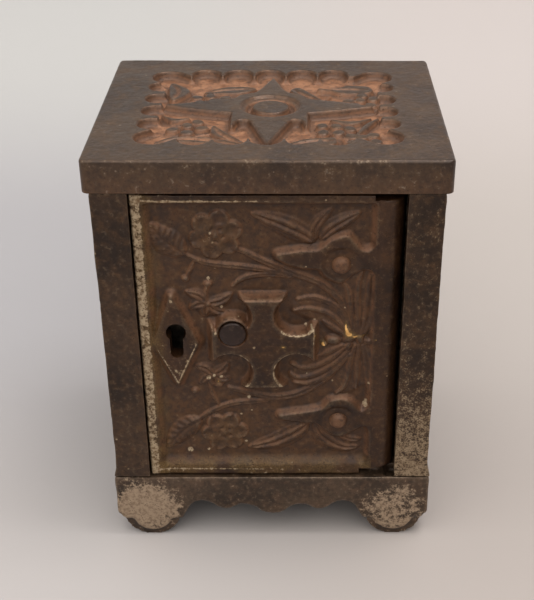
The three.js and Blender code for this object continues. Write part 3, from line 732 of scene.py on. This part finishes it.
# Bright gold spots by the leaves' joint, painted highlights on traces of gilding: x, z and the sizes along
# them.
GILT_HIGHLIGHT_SPOTS = [
    (21.2, 49.7, 0.6, 1.3), (21.9, 48.9, 1.2, 0.8), (20.8, 51.2, 0.35, 1.2), (23.5, 48.1, 1, 0.4),
    (14.6, 45.3, 0.9, 1.1), (12.3, 49.3, 0.5, 0.6), (-14.8, 32.9, 0.5, 0.5), (3.6, 46, 0.7, 0.4),
    (25.8, 48.3, 1, 0.25), (29.4, 47.4, 0.9, 0.2),
]  # fmt: skip


def door_rub(r, cross, shield):
    """Where the door is bare: its rim, the lower edges of the cross and the keyhole plate, and specks."""
    x, z = r.across, r.up
    rim = 0.54 * smoothstep(-32.5, -33.4, x) + 0.2 * smoothstep(88.9, 89.6, z) * smoothstep(0, -30, x)
    rim += 0.16 * smoothstep(3.2, 2.2, z)
    rim += 0.8 * np.exp(-(((z - 89.5) / 0.28) ** 2)) * smoothstep(20, -25, x)
    rim += 0.5 * np.exp(-(((z - 2.6) / 0.3) ** 2)) * smoothstep(15, -20, x)
    line = 0.85 * np.exp(-(((cross - 0.1) / 0.25) ** 2))
    low = line * smoothstep(CROSS_Z - 1, CROSS_Z - 3, z) * (abs(x - CROSS_X) < 11)
    low *= np.where(z < CROSS_Z - 13, 1.0, 0.85) * (1 - 0.8 * spot(x, z, -4, 36, 3, 3))
    notch = 0.8 * line * (x > CROSS_X + 5) * (z > CROSS_Z) * smoothstep(CROSS_Z + 7, CROSS_Z + 4, z)
    plate = (0.1 + 0.16 * spot(x, z, -24.5, 38.5, 5, 7)) * (shield > 0)
    lower_edge = np.exp(-(((shield - 0.15) / 0.19) ** 2)) * smoothstep(47.5, 44, z)
    plate += 0.6 * lower_edge * np.where(x > -26, 1, 0.6)
    specks = sum(1.3 * spot(x, z, sx, sz, 0.8 * size, 0.8 * size) for sx, sz, size in WHITE_SPECKS)
    return np.clip(0.04 + rim + low + notch + plate + specks, 0, 1)


def wall_share(r):
    """How steep the relief is, from 0 on flat ground to 1 on a wall."""
    up = np.gradient(r.height, axis=0) / np.gradient(r.up, axis=0)
    across = np.gradient(r.height, axis=1) / np.gradient(r.across, axis=1)
    return smoothstep(0.35, 1.3, np.hypot(up, across))


def door_gilt_and_highlights(r):
    """Traces of gilding beside the left rim and on the sill, and painted highlights: bright gold spots by the
    leaves' joint.
    """
    x, z = r.across, r.up
    traces = 0.55 * smoothstep(-27.5, -33.0, x) * smoothstep(-36, -34, x) + 0.45 * smoothstep(8, 3, z)
    # Painted highlights: bright gold spots by the leaves' joint.
    joint = sum(1.15 * spot(x, z, *gold) for gold in GILT_HIGHLIGHT_SPOTS)
    flowers = 0.15 * spot(x, z, -14, 80, 6, 6) + 0.15 * spot(x, z, -14, 14, 8, 7)
    film = np.clip((traces + flowers) * smoothstep(-1.4, 0.8, grain(x.shape, 5, 14)), 0, 0.7)
    return np.clip(film + joint, 0, 1)


def make_door(material):
    """The door: a relief plate, with the hinge column that is cast on its edge."""
    x, z = np.meshgrid(lattice(DOOR_LEFT, HINGE_X, 0.27), lattice(DOOR_BOTTOM, DOOR_TOP, 0.27))
    r = Relief(x, z, np.zeros_like(x))
    door_field(r)
    door_leaves(r)
    cross = door_furniture(r)
    shield = np.full(x.shape, -9.0)
    window, shield_depth = r.inside(np.array(SHIELD))
    shield[window] = shield_depth
    r.height = blur(r.height, 0.62)
    wall = wall_share(r)
    # No slope colour, which is partly a painted highlight, on the low wall by the sill.
    wall *= 1 - smoothstep(7.5, 6.5, z)
    r.height -= 0.3 * smoothstep(0.55, 0.0, key_distance(x, z))
    lumps = 0.05 * grain(x.shape, 9, 11) + 0.035 * grain(x.shape, 3.0, 12) + 0.018 * grain(x.shape, 1.1, 13)
    r.height += lumps * smoothstep(0.0, 0.8, x - DOOR_LEFT)
    r.height = np.where(x > 28.7, np.minimum(r.height, -0.12), r.height)
    edge = np.minimum(np.minimum(x - DOOR_LEFT, DOOR_TOP - z), z - DOOR_BOTTOM)
    r.height -= round_over(edge, 0.7)
    # Where raised is below nought, the material darkens the skin there with painted shade.
    raised = np.clip(r.height - blur(r.height, 4.5), -1, 1)
    rub, gilt_and_highlight = door_rub(r, cross, shield), door_gilt_and_highlights(r)
    fields = {"raised": raised, "low": -r.height, "rub": rub, "gilt_and_highlight": gilt_and_highlight, "wall": wall}
    top = np.stack([x, DOOR_FRONT - r.height, z], -1)

    def behind(border):
        return np.column_stack([border[:, 0], np.full(len(border), DOOR_BACK), border[:, 2]])

    door = slab("door_casting", top, behind, fields)
    far, through = 99, (-5, 20)
    cut(door, block("notch", (UPPER_NOTCH_X, far), through, (COLUMN_TOP, far)))
    cut(door, block("notch", (LOWER_NOTCH_X, far), through, (-far, COLUMN_BOTTOM)))
    cut(door, hinge_column(), "UNION")
    cut(door, prism_y("keyhole", key_outline(), -3, 9))
    return finish_piece(door, "door", ["door"], material, 55)


def hinge_column():
    """The round column, without the part of it that the sunken field takes away."""
    turns = np.linspace(0, 2 * math.pi, 97)[:-1] + math.pi + 0.3
    heights = lattice(COLUMN_BOTTOM, COLUMN_TOP, 0.5)
    shape = (len(heights), len(turns))
    lumps = 0.05 * grain(shape, 5, 21) + 0.02 * grain(shape, 1.4, 22)
    points, rows, raised = [], [], []
    for row, height in enumerate(heights):
        edge = min(height - COLUMN_BOTTOM, COLUMN_TOP - height)
        radius = COLUMN_RADIUS - round_over(edge, 0.7)
        rows.append(range(len(points), len(points) + len(turns)))
        for col, angle in enumerate(turns):
            fade = min(1, edge) * min(1, min(col, len(turns) - 1 - col) / 4)
            out = radius + lumps[row, col] * fade
            points.append((HINGE_X + out * math.cos(angle), HINGE_Y + out * math.sin(angle), height))
            raised.append(lumps[row, col])
    n = len(turns)
    faces = []
    for low, high in zip(rows[:-1], rows[1:]):
        faces += [(low[i], low[(i + 1) % n], high[(i + 1) % n], high[i]) for i in range(n)]
    faces += [tuple(rows[0]), tuple(rows[-1])]
    flat = np.zeros(len(points))
    column = mesh_object("column", points, faces, {"raised": raised, "low": flat, "rub": flat + 0.04})
    cut(column, block("field", (20, 28.9), (0, 4.6), (3.6, 88.9)))
    return column


# ---------------------------------------------------------------- the lid

(LID_LEFT, LID_FRONT, LID_FOOT), (LID_RIGHT, LID_BACK, LID_TOP) = body_box("lid")
LID_MIDDLE = (LID_FRONT + LID_BACK) / 2
LID_FLOOR = 2.3
LOBE_RADIUS = 4.25
DISC_RADIUS = 9.2  # the disc in the middle of the star
LID_CORNER = 2.0
LID_HOLLOW, LID_HOLLOW_DEPTH = ((-33.5, 33.5), (12.5, 72.0)), 3.5  # in x and in y
SCREW_X, SCREW_Y, SCREW_RADIUS, SCREW_DEPTH = 38.2, (22, 56), 1.15, 5.5  # the bores for the tie screws
STAR = [
    (28.3, -0.6), (18, 3.2), (10.4, 5.2), (8.8, 8), (5, 10.2), (3.4, 12.6), (0.4, 22.8), (-2.8, 14),
    (-4.6, 10.4), (-8.8, 8.2), (-10.4, 5.4), (-19, 3.2), (-29.2, 0.4), (-19, -3.4), (-10.4, -5.6),
    (-10.3, -14.4), (-9.7, -12.4), (-8.7, -10.9), (-7.3, -10.4), (-5.8, -10.8), (-4.9, -12), (-0.3, -27.6),
    (4.9, -12), (5.8, -10.8), (7.3, -10.4), (8.6, -10.9), (9.4, -12.4), (9.9, -14.4), (10.2, -5.8),
    (19, -3.8),
]  # fmt: skip


def lid_field_depth(x, y):
    """How far a point lies inside the scalloped field, negative outside."""
    inner = np.minimum(30.4 - abs(x), 23.9 - abs(y - LID_MIDDLE))
    depth = inner
    lobes = [(a, b, a, c) for a in (-19.6, -10.1, -0.7, 8.8, 18.2) for b, c in ((60, 64.3), (18, 14.7))]
    lobes += [(-29, b, -32.1, b) for b in (54.0, 44.3, 34.8, 25.2)]
    lobes += [(29, b, 31.7, b) for b in (53.2, 43.4, 34, 24.9)]
    lobes += [(side * 28, y0, side * 30.6, y1) for side in (-1, 1) for y0, y1 in ((60, 62.4), (18, 15.7))]
    for x0, y0, x1, y1 in lobes:
        length2 = (x1 - x0) ** 2 + (y1 - y0) ** 2
        t = np.clip(((x - x0) * (x1 - x0) + (y - y0) * (y1 - y0)) / length2, 0, 1)
        at_side, at_end = abs(x1) > 30, y1 > 60 or y1 < 17
        radius = LOBE_RADIUS + (0.5 if at_side and at_end else -0.8 if at_side else 0)
        depth = np.maximum(depth, radius - np.hypot(x - x0 - t * (x1 - x0), y - y0 - t * (y1 - y0)))
    return depth


def lid_plants(r):
    """Five-petalled flowers and long leaves that stand almost as high as the lid's top."""
    floor, top = -LID_FLOOR, -0.7
    petals = (
        (-26, 23, 0.2), (-22.3, 26, 1.9), (-18.2, 24, 0.3), (-22, 20.9, 0.1), (-19.6, 28.3, 2.4),
        (-20.2, 43.4, 1.6), (-16.2, 45, 0.4), (-13.1, 46.9, 0.4), (-13.8, 43, 2.4), (-17.5, 48.6, 1.8),
        (-21.2, 47.6, 2.6), (14.4, 20.9, 1.2), (18.5, 20.8, 0.6), (18, 25.4, 1.9), (21.6, 23.6, 2.3),
        (14.2, 25.6, 1.2), (22.2, 14.1, 0.9), (24.6, 17.6, 0.5), (27.6, 18.9, 0.2), (28.2, 14.6, 2.3),
        (21.8, 18.3, 2.4), (22, 44.7, 0.1), (25.4, 45.4, 1.6), (29.2, 46.5, 0.9), (23.7, 41.6, 2.6),
        (28.2, 41.5, 2.3), (26, 49, 0.4),
    )  # fmt: skip
    for x, y, turn in petals:
        r.dome(x, y, 2.15, top, floor, 0.84, turn, power=8)
    leaves = (
        [(-29.8, 58.5), (-26.4, 56.4), (-23.8, 52.6), (-25, 48.4), (-28, 44.8), (-29.4, 50)],
        [(-19.4, 51.2), (-15, 50.6), (-8.4, 51.2), (-4.6, 54.6), (-8, 55.9), (-13.6, 55.4)],
        [(5.6, 53.6), (7.8, 55.4), (10.4, 52.2), (13.4, 47.2), (15.8, 42.8), (10.6, 46.8), (7.0, 49.6)],
        [(13.4, 54.4), (19.4, 55.4), (22.4, 57.2), (28.4, 55.9), (28.4, 51.3), (20.6, 50.8), (17.2, 53.0)],
        [(-29.8, 13.4), (-25.2, 17.4), (-17, 17.6), (-11, 15.2), (-5.4, 11.2), (-12, 12.2), (-17, 13.6),
         (-24, 14.4)],
        [(-15.2, 25.6), (-11.4, 20.4), (-6.4, 13.6), (-10.2, 15.8), (-15.0, 19.6)],
        [(4.8, 11.8), (8.8, 15.6), (14, 16.8), (17.4, 17.2), (17.2, 13), (12, 11.6)],
        [(29.8, 31.2), (26.6, 24.6), (22.8, 17.4), (25.4, 25.4)],
        [(27.8, 31), (22, 26.6), (16.6, 29.8), (22.4, 28.6)],
        [(-30, 33.6), (-26.6, 30.8), (-22, 30.8), (-26.4, 29.0)],
    )
    for outline in leaves:
        r.plateau(curve(outline, closed=True), top, floor, 0.6)
    folds = (
        [(-29.2, 57.6), (-26.9, 52.6), (-28, 46.4)], [(-18.4, 51.6), (-13, 53.4), (-5.6, 54.4)],
        [(6.6, 53.4), (9.6, 49.4), (14.8, 43.8)], [(15.4, 54.2), (22, 54.2), (27.6, 53.6)],
        [(-28.6, 14), (-21.6, 16), (-14.6, 14.8), (-7, 11.8)], [(-14.8, 24), (-12.0, 18.6), (-7.4, 14.2)],
        [(5.8, 12.2), (11.4, 14.8), (16.8, 15.2)], [(-28, 14.6), (-21.6, 17.0), (-12.4, 15.6)],
    )  # fmt: skip
    for points in folds:
        r.carve(points, 0.75, 0.7)
    tendrils = (
        [(-28.8, 40.8), (-23.4, 44.2), (-19.6, 49.4)], [(-14.6, 21.6), (-18.4, 19.6), (-24, 16.6)],
        [(17.2, 50.2), (15.6, 46.4), (16.2, 43)], [(20.6, 11.8), (19.8, 17.4), (16.4, 18.6)],
    )  # fmt: skip
    for points in tendrils:
        r.stem(points, 0.7, top - 0.4, floor, ribs=False)


def make_lid(material):
    """The lid: a plate with a scalloped field cut in its top, a star, plants, and a hollow below."""
    x, y = np.meshgrid(lattice(LID_LEFT, LID_RIGHT, 0.3), lattice(LID_FRONT, LID_BACK, 0.3))
    r = Relief(x, y, np.zeros_like(x))
    depth = lid_field_depth(x, y)
    scoop = np.clip((depth + 0.1) / 1.35, 0, 1)
    r.height = -LID_FLOOR * np.sqrt(1 - (1 - scoop) ** 2)
    lid_plants(r)
    star = np.array(STAR) + (0, LID_MIDDLE)
    r.plateau(star, 0.0, -LID_FLOOR, 1.1)
    around = np.hypot(x, y - LID_MIDDLE + 0.3)
    on_disc = around < DISC_RADIUS
    disc = -LID_FLOOR * smoothstep(DISC_RADIUS - 0.6, DISC_RADIUS, around)
    r.height = np.where(on_disc, np.maximum(r.height, disc), r.height)
    ring = np.interp(around, [5.0, 5.5, 6.5, 6.9, 8.0, 8.6], [0.35, 2.2, 2.2, 1.05, 0.8, 0])
    r.height -= np.where(on_disc, ring, 0)
    r.height = blur(r.height, 0.6)
    edge = np.minimum(np.minimum(x - LID_LEFT, LID_RIGHT - x), np.minimum(y - LID_FRONT, LID_BACK - y))
    lumps = 0.04 * grain(x.shape, 12, 31) + 0.016 * grain(x.shape, 3.0, 32) + 0.016 * grain(x.shape, 1.1, 33)
    r.height = np.minimum(r.height + (lumps - 0.08) * smoothstep(0.0, 1.2, edge), 0)
    # Where raised is below nought, the material darkens the skin there with painted shade.
    raised = np.clip(r.height - blur(r.height, 4.0), -1, 0.1)
    wall = 0.8 * wall_share(r)
    r.height -= round_over(edge, 1.0)
    rim = np.exp(-((edge / 0.7) ** 2))
    low = np.clip(-r.height, 0, 3) * (edge > 3)
    rub = 0.12 + 0.1 * rim - 0.1 * (low > 1.2)
    fields = {"raised": raised, "low": low, "rub": rub, "wall": wall}
    half = LID_BACK - LID_MIDDLE
    a = np.clip((abs(x) - LID_RIGHT + LID_CORNER) / LID_CORNER, 0, 1)
    b = np.clip((abs(y - LID_MIDDLE) - half + LID_CORNER) / LID_CORNER, 0, 1)
    right = LID_RIGHT - LID_CORNER + LID_CORNER * a * np.sqrt(1 - b**2 / 2)
    back = half - LID_CORNER + LID_CORNER * b * np.sqrt(1 - a**2 / 2)
    across = np.where(a > 0, np.sign(x) * right, x)
    along = np.where(b > 0, LID_MIDDLE + np.sign(y - LID_MIDDLE) * back, y)
    top = np.stack([across, along, LID_TOP + r.height], -1)

    def beneath(border):
        return np.column_stack([border[:, 0], border[:, 1], np.full(len(border), LID_FOOT)])

    lid = slab("lid_casting", top, beneath, fields, {"wall": 0.5, "rub": 0.16})
    below = LID_FOOT - 1
    cut(lid, block("hollow", *LID_HOLLOW, (below, LID_FOOT + LID_HOLLOW_DEPTH)))
    for x0 in (-SCREW_X, SCREW_X):
        for y0 in SCREW_Y:
            cut(lid, upright("bore", x0, y0, SCREW_RADIUS, below, LID_FOOT + SCREW_DEPTH))
    return finish_piece(lid, "cabinet", ["lid"], material, 50)


def upright(name, x, y, radius, z0, z1):
    """A plain round tool standing upright, for cutting."""
    steps = 32
    ring = [2 * math.pi * i / steps for i in range(steps)]
    points = [(x + radius * math.cos(a), y + radius * math.sin(a), z) for z in (z0, z1) for a in ring]
    sides = [(i, (i + 1) % steps, steps + (i + 1) % steps, steps + i) for i in range(steps)]
    return mesh_object(name, points, [tuple(range(steps)), tuple(range(steps, 2 * steps))] + sides)


# ---------------------------------------------------------------- the plain castings


def cast_copy(node, body, material, voxel_mm, rub, seed):
    """A CAD node's shape with soft cast edges and an uneven skin."""
    made = bpy.data.objects.new(node + "_casting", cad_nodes[node].data.copy())
    bpy.context.scene.collection.objects.link(made)
    remesh = made.modifiers.new("remesh", "REMESH")
    remesh.mode, remesh.voxel_size = "VOXEL", voxel_mm * MM
    smooth = made.modifiers.new("smooth", "LAPLACIANSMOOTH")
    smooth.iterations, smooth.lambda_factor, smooth.lambda_border = 3, 0.6, 0.6
    apply_modifiers(made)
    mesh = made.data
    place_mm = vectors(mesh.vertices, "co") / MM - (0, FRONT, BASE_TOP)
    out = vectors(mesh.vertex_normals, "vector")
    edges = np.empty(len(mesh.edges) * 2, np.int32)
    mesh.edges.foreach_get("vertices", edges)
    edges = edges.reshape(-1, 2)
    share = np.bincount(edges.ravel(), minlength=len(out))[:, None]

    def around(values):
        total = np.zeros_like(values)
        for column in range(values.shape[1]):
            total[:, column] = np.bincount(edges[:, 0], values[edges[:, 1], column], len(out))
            total[:, column] += np.bincount(edges[:, 1], values[edges[:, 0], column], len(out))
        return total / share

    soft = place_mm
    for _ in range(6):
        soft = around(soft)
    # Where raised is below nought, in creases and hollows, the material darkens the skin with painted shade.
    raised = ((place_mm - soft) * out).sum(1)
    lumps = solid_grain(place_mm, 5.0, seed) * 0.06 + solid_grain(place_mm, 1.6, seed + 1) * 0.035
    moved = np.clip(place_mm + out * (lumps - 0.03)[:, None], *body_box(node))
    mesh.vertices.foreach_set("co", place(moved).astype(np.float32).ravel())
    fields = {"raised": np.clip(raised * 1.6, -1, 1), "low": np.zeros(len(out)), "rub": rub(place_mm)}
    fields["gilt_and_highlight"] = fields["low"]
    store(mesh, fields)
    return finish_piece(made, body, [node], material, 60)


def solid_grain(points, size, seed):
    """Smooth random lumps of that size through space: value noise on a box of random numbers."""
    rng = np.random.default_rng(seed)
    low = points.min(0) / size - 1
    table = rng.standard_normal(tuple((np.ceil(points.max(0) / size - low) + 3).astype(int)))
    cell = points / size - low
    corner = np.floor(cell).astype(int)
    t = cell - corner
    t = t * t * (3 - 2 * t)
    total = 0
    for i in range(8):
        step = np.array([i >> 2 & 1, i >> 1 & 1, i & 1])
        weight = np.prod(np.where(step, t, 1 - t), 1)
        total = total + weight * table[tuple((corner + step).T)]
    return total


FOOT_X, FOOT_Z = 36.3, -14.4  # the middle of each foot's round face
FACE_RADIUS = 5.5
SHOULDERS = (-16.4, -15.6)  # the step from the apron to the foot's ring


def base_rub(p):
    """The base is rubbed bare on its feet's round faces, above them, and on its left end."""
    x, z = p[:, 0], p[:, 2]
    front = smoothstep(6, 0, p[:, 1])
    disc = np.hypot(abs(x) - FOOT_X, z - FOOT_Z)
    above = smoothstep(*SHOULDERS, z)
    wide = above * smoothstep(14.5, 5.0, np.hypot(abs(x) - FOOT_X, z + 12.5))
    face = smoothstep(FACE_RADIUS + 0.3, FACE_RADIUS - 0.1, disc)
    line = spot(disc, 0, FACE_RADIUS, 0, 0.3, 1) * (1 - above)
    ring = 0.14 * smoothstep(5.6, 6.2, disc) * smoothstep(10.0, 9.0, disc) * (1 - above)
    pale = np.where(x > 0, 0.9, 1.0) * (0.5 * np.maximum(face, wide) + 0.5 * line) + ring
    left = smoothstep(-27, -42, x) * (1 - 0.3 * smoothstep(-42, -46, x))
    left *= above * (0.5 + 0.5 * smoothstep(-2, -9, z))
    return np.clip(0.08 + pale * (0.4 + 0.6 * front) + 0.42 * left * front, 0, 1)


def pillar_rub(p):
    """The pillars are rubbed near the base, the right one most."""
    right = p[:, 0] > 0
    front = smoothstep(6, 1, p[:, 1])
    share = smoothstep(70, 0, p[:, 2]) ** 1.8
    return np.clip(0.02 + 0.19 * right * front + share * front * np.where(right, 0.34, 0.14), 0, 1)


def plain_rub(p):
    return np.full(len(p), 0.14)


# ---------------------------------------------------------------- the small pieces


def make_stud(material):
    """The pull stud: a thick round head with a rounded edge, on a shank."""
    front, back = STUD_LOW[1], STUD_HIGH[1]
    seat, shank = 0.35, 2.1
    head = [(0, 0), (1.2, 0), (2.4, 0.03), (3.1, 0.09), (3.42, 0.22), (3.58, 0.42), (3.65, 0.7)]
    profile = [(radius, front + depth) for radius, depth in head] + [(3.62, seat - 0.2), (3.5, seat)]
    profile += [(shank, seat), (shank, back - 0.2), (shank - 0.2, back), (0, back)]
    stud = turned_y("stud", profile, STUD_X, STUD_Z)
    flat = np.zeros(len(stud.data.vertices))
    store(stud.data, {"raised": flat, "low": flat, "rub": flat + 0.12})
    return finish_piece(stud, "door", ["pull_stud"], material, 45)


RIVET_RADIUS = 3.3


def make_rivet(node, material):
    """A rivet's head: a low dome, a little flattened by the hammer."""
    low, high = body_box(node)
    x, _, z = (low + high) / 2
    front, seat = low[1], high[1]
    rise = seat - front
    reach = np.linspace(0, 1, 18) ** 0.7
    profile = [(RIVET_RADIUS * q, front + rise * (1 - (1 - q**3.5) ** 0.5)) for q in reach]
    head = turned_y(node + "_head", profile + [(RIVET_RADIUS, seat + 0.5), (0, seat + 0.5)], x, z)
    flat = np.zeros(len(head.data.vertices))
    store(head.data, {"raised": flat, "low": flat + 1.6, "rub": flat + 0.12, "wall": flat + 0.8})
    return finish_piece(head, "door", [node], material, 60)


# ---------------------------------------------------------------- the scene


CAMERA_AT = (7.96, -260.18, 213.5)
CAMERA_DOWN, CAMERA_YAW, CAMERA_ROLL = math.radians(30.44), math.radians(0.488), math.radians(0.2537)


def make_camera():
    """A camera that looks down on the box from a little to the right of its middle."""
    camera = bpy.data.objects.new("camera", bpy.data.cameras.new("camera"))
    bpy.context.scene.collection.objects.link(camera)
    bpy.context.scene.camera = camera
    level = math.cos(CAMERA_DOWN)
    forward = Vector((math.sin(CAMERA_YAW) * level, math.cos(CAMERA_YAW) * level, -math.sin(CAMERA_DOWN)))
    right = Vector((math.cos(CAMERA_YAW), -math.sin(CAMERA_YAW), 0))
    up = right.cross(forward)
    cosine, sine = math.cos(CAMERA_ROLL), math.sin(CAMERA_ROLL)
    right, up = cosine * right + sine * up, cosine * up - sine * right
    turn = Matrix((right, up, -forward)).transposed()
    camera.matrix_world = Matrix.Translation(Vector(place(CAMERA_AT))) @ turn.to_4x4()
    camera.data.sensor_width = 36
    camera.data.lens = 67.44
    camera.data.shift_x = -0.0673
    camera.data.shift_y = 0.0016
    camera.data.clip_start = 0.01


# The paper's colours at its left and right: near, in the middle and far off. The shifts between them are
# painted light and shade.
PAPER_AND_PAINTED_LIGHT = (("B1ADAC", "A8A19D"), ("A1A0A3", "AFA9A5"), ("B4B4B3", "B8B2B0"))


def make_backdrop():
    """A pale sheet: a floor that curves up behind into a wall."""
    half, front, bend, radius, top = 1.6, -1.2, 0.30, 0.30, 1.6
    side = [(front, 0.0), (bend - radius, 0.0)]
    for a in np.linspace(0.1, math.pi / 2, 14):
        side.append((bend - radius + radius * math.sin(a), radius - radius * math.cos(a)))
    side += [(bend, top)]
    points = [(x, y, z) for y, z in side for x in (-half, half)]
    mesh = bpy.data.meshes.new("backdrop")
    mesh.from_pydata(points, [], [(2 * i, 2 * i + 1, 2 * i + 3, 2 * i + 2) for i in range(len(side) - 1)])
    backdrop = bpy.data.objects.new("backdrop", mesh)
    bpy.context.scene.collection.objects.link(backdrop)
    g = Graph("backdrop_paper")
    across, along = g.axes()
    # Painted light and shade: the paper's colour shifts from left to right and from near to far.
    side = g.span(across, -0.08, 0.08)
    near, middle, far = (g.mix(side, *ends) for ends in PAPER_AND_PAINTED_LIGHT)
    colour = g.mix(g.span(along, -0.05, 0.08), near, middle)
    colour = g.mix(g.span(along, 0.12, 0.2), colour, far)
    mesh.materials.append(g.finish(colour, 0.9, g.noise(1.5), 0.02, 0.0))
    mesh.shade_smooth()


def make_light(name, place_m, aim, size, power, colour):
    lamp = bpy.data.lights.new(name, "AREA")
    lamp.shape, lamp.size, lamp.energy, lamp.color = "DISK", size, power, colour
    made = bpy.data.objects.new(name, lamp)
    made.location = place_m
    made.rotation_euler = (Vector(aim) - Vector(place_m)).to_track_quat("-Z", "Y").to_euler()
    bpy.context.scene.collection.objects.link(made)


def make_lights():
    make_light("top", (-0.08, -0.30, 1.05), (0, -0.02, 0.06), 2.4, 27.5, (1.0, 0.955, 0.91))
    make_light("wall", (0.35, 0.0, 1.1), (0.2, 0.6, 0.5), 0.5, 5.0, (1.0, 0.96, 0.93))
    world = bpy.data.worlds.new("room")
    world.use_nodes = True
    world.node_tree.nodes["Background"].inputs["Color"].default_value = (0.93, 0.92, 0.91, 1)
    world.node_tree.nodes["Background"].inputs["Strength"].default_value = 0.31
    bpy.context.scene.world = world
    bpy.context.scene.view_settings.view_transform = "Standard"


def paint_nodes(materials):
    """Every node that keeps its CAD mesh gets a finish for its slot."""
    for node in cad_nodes.values():
        if node.hide_render:
            continue
        slot_name = node.material_slots[0].material.name if node.material_slots else ""
        finish = materials["lock"] if "lock" in slot_name or "lock" in node.name else materials["fastener"]
        for socket in node.material_slots:
            socket.material = finish


def main():
    make_camera()
    make_backdrop()
    make_lights()
    soot = ("2F1A0D", "4B2E1A")
    body_iron = cast_iron(
        "body_iron", "24170E", "3D2B1D", "5E4228", "75614B", "9C8970", soot,
        islands=0.45, flaky=0.5, gritty=1.0,
    )  # fmt: skip
    base_iron = cast_iron(
        "base_iron", "30251C", "4F3F31", "664D3A", "8A7561", "AD9880", soot,
        islands=0.9, flaky=0.9, gritty=0.7,
    )  # fmt: skip
    lid_iron = cast_iron(
        "lid_iron", "32261F", "463629", "5E4731", "6E5D4F", "8D7D6C", ("6A452D", "94694C"),
        low_from=0.72, islands=0.8, shade=0.5, slope="6E4B34",
    )  # fmt: skip
    door_iron = cast_iron(
        "door_iron", "27170E", "3F291A", "523519", "71573C", "B3A084", ("362112", "51341B"),
        low_from=0.3, islands=1.0, edges=0.1, shade=0.2, slope="775239",
    )  # fmt: skip
    stud_iron = cast_iron("stud_iron", "20140F", "33231E", "443026", "5A4A3E", "8F7C66", soot)
    lock_steel = steel("lock_steel", "5C564E", "2B2621", (1, 1, 6))
    fastener_steel = steel("fastener_steel", "7C756C", "3B342D")
    make_lid(lid_iron)
    make_door(door_iron)
    cast_copy("base", "cabinet", base_iron, 0.55, base_rub, 41)
    cast_copy("left_side", "cabinet", body_iron, 0.5, pillar_rub, 43)
    cast_copy("right_side", "cabinet", body_iron, 0.5, pillar_rub, 45)
    cast_copy("back_plate", "cabinet", body_iron, 0.6, plain_rub, 47)
    make_stud(stud_iron)
    for node in ("strap_rivet_upper", "strap_rivet_lower"):
        make_rivet(node, door_iron)
    paint_nodes({"lock": lock_steel, "fastener": fastener_steel})


main()
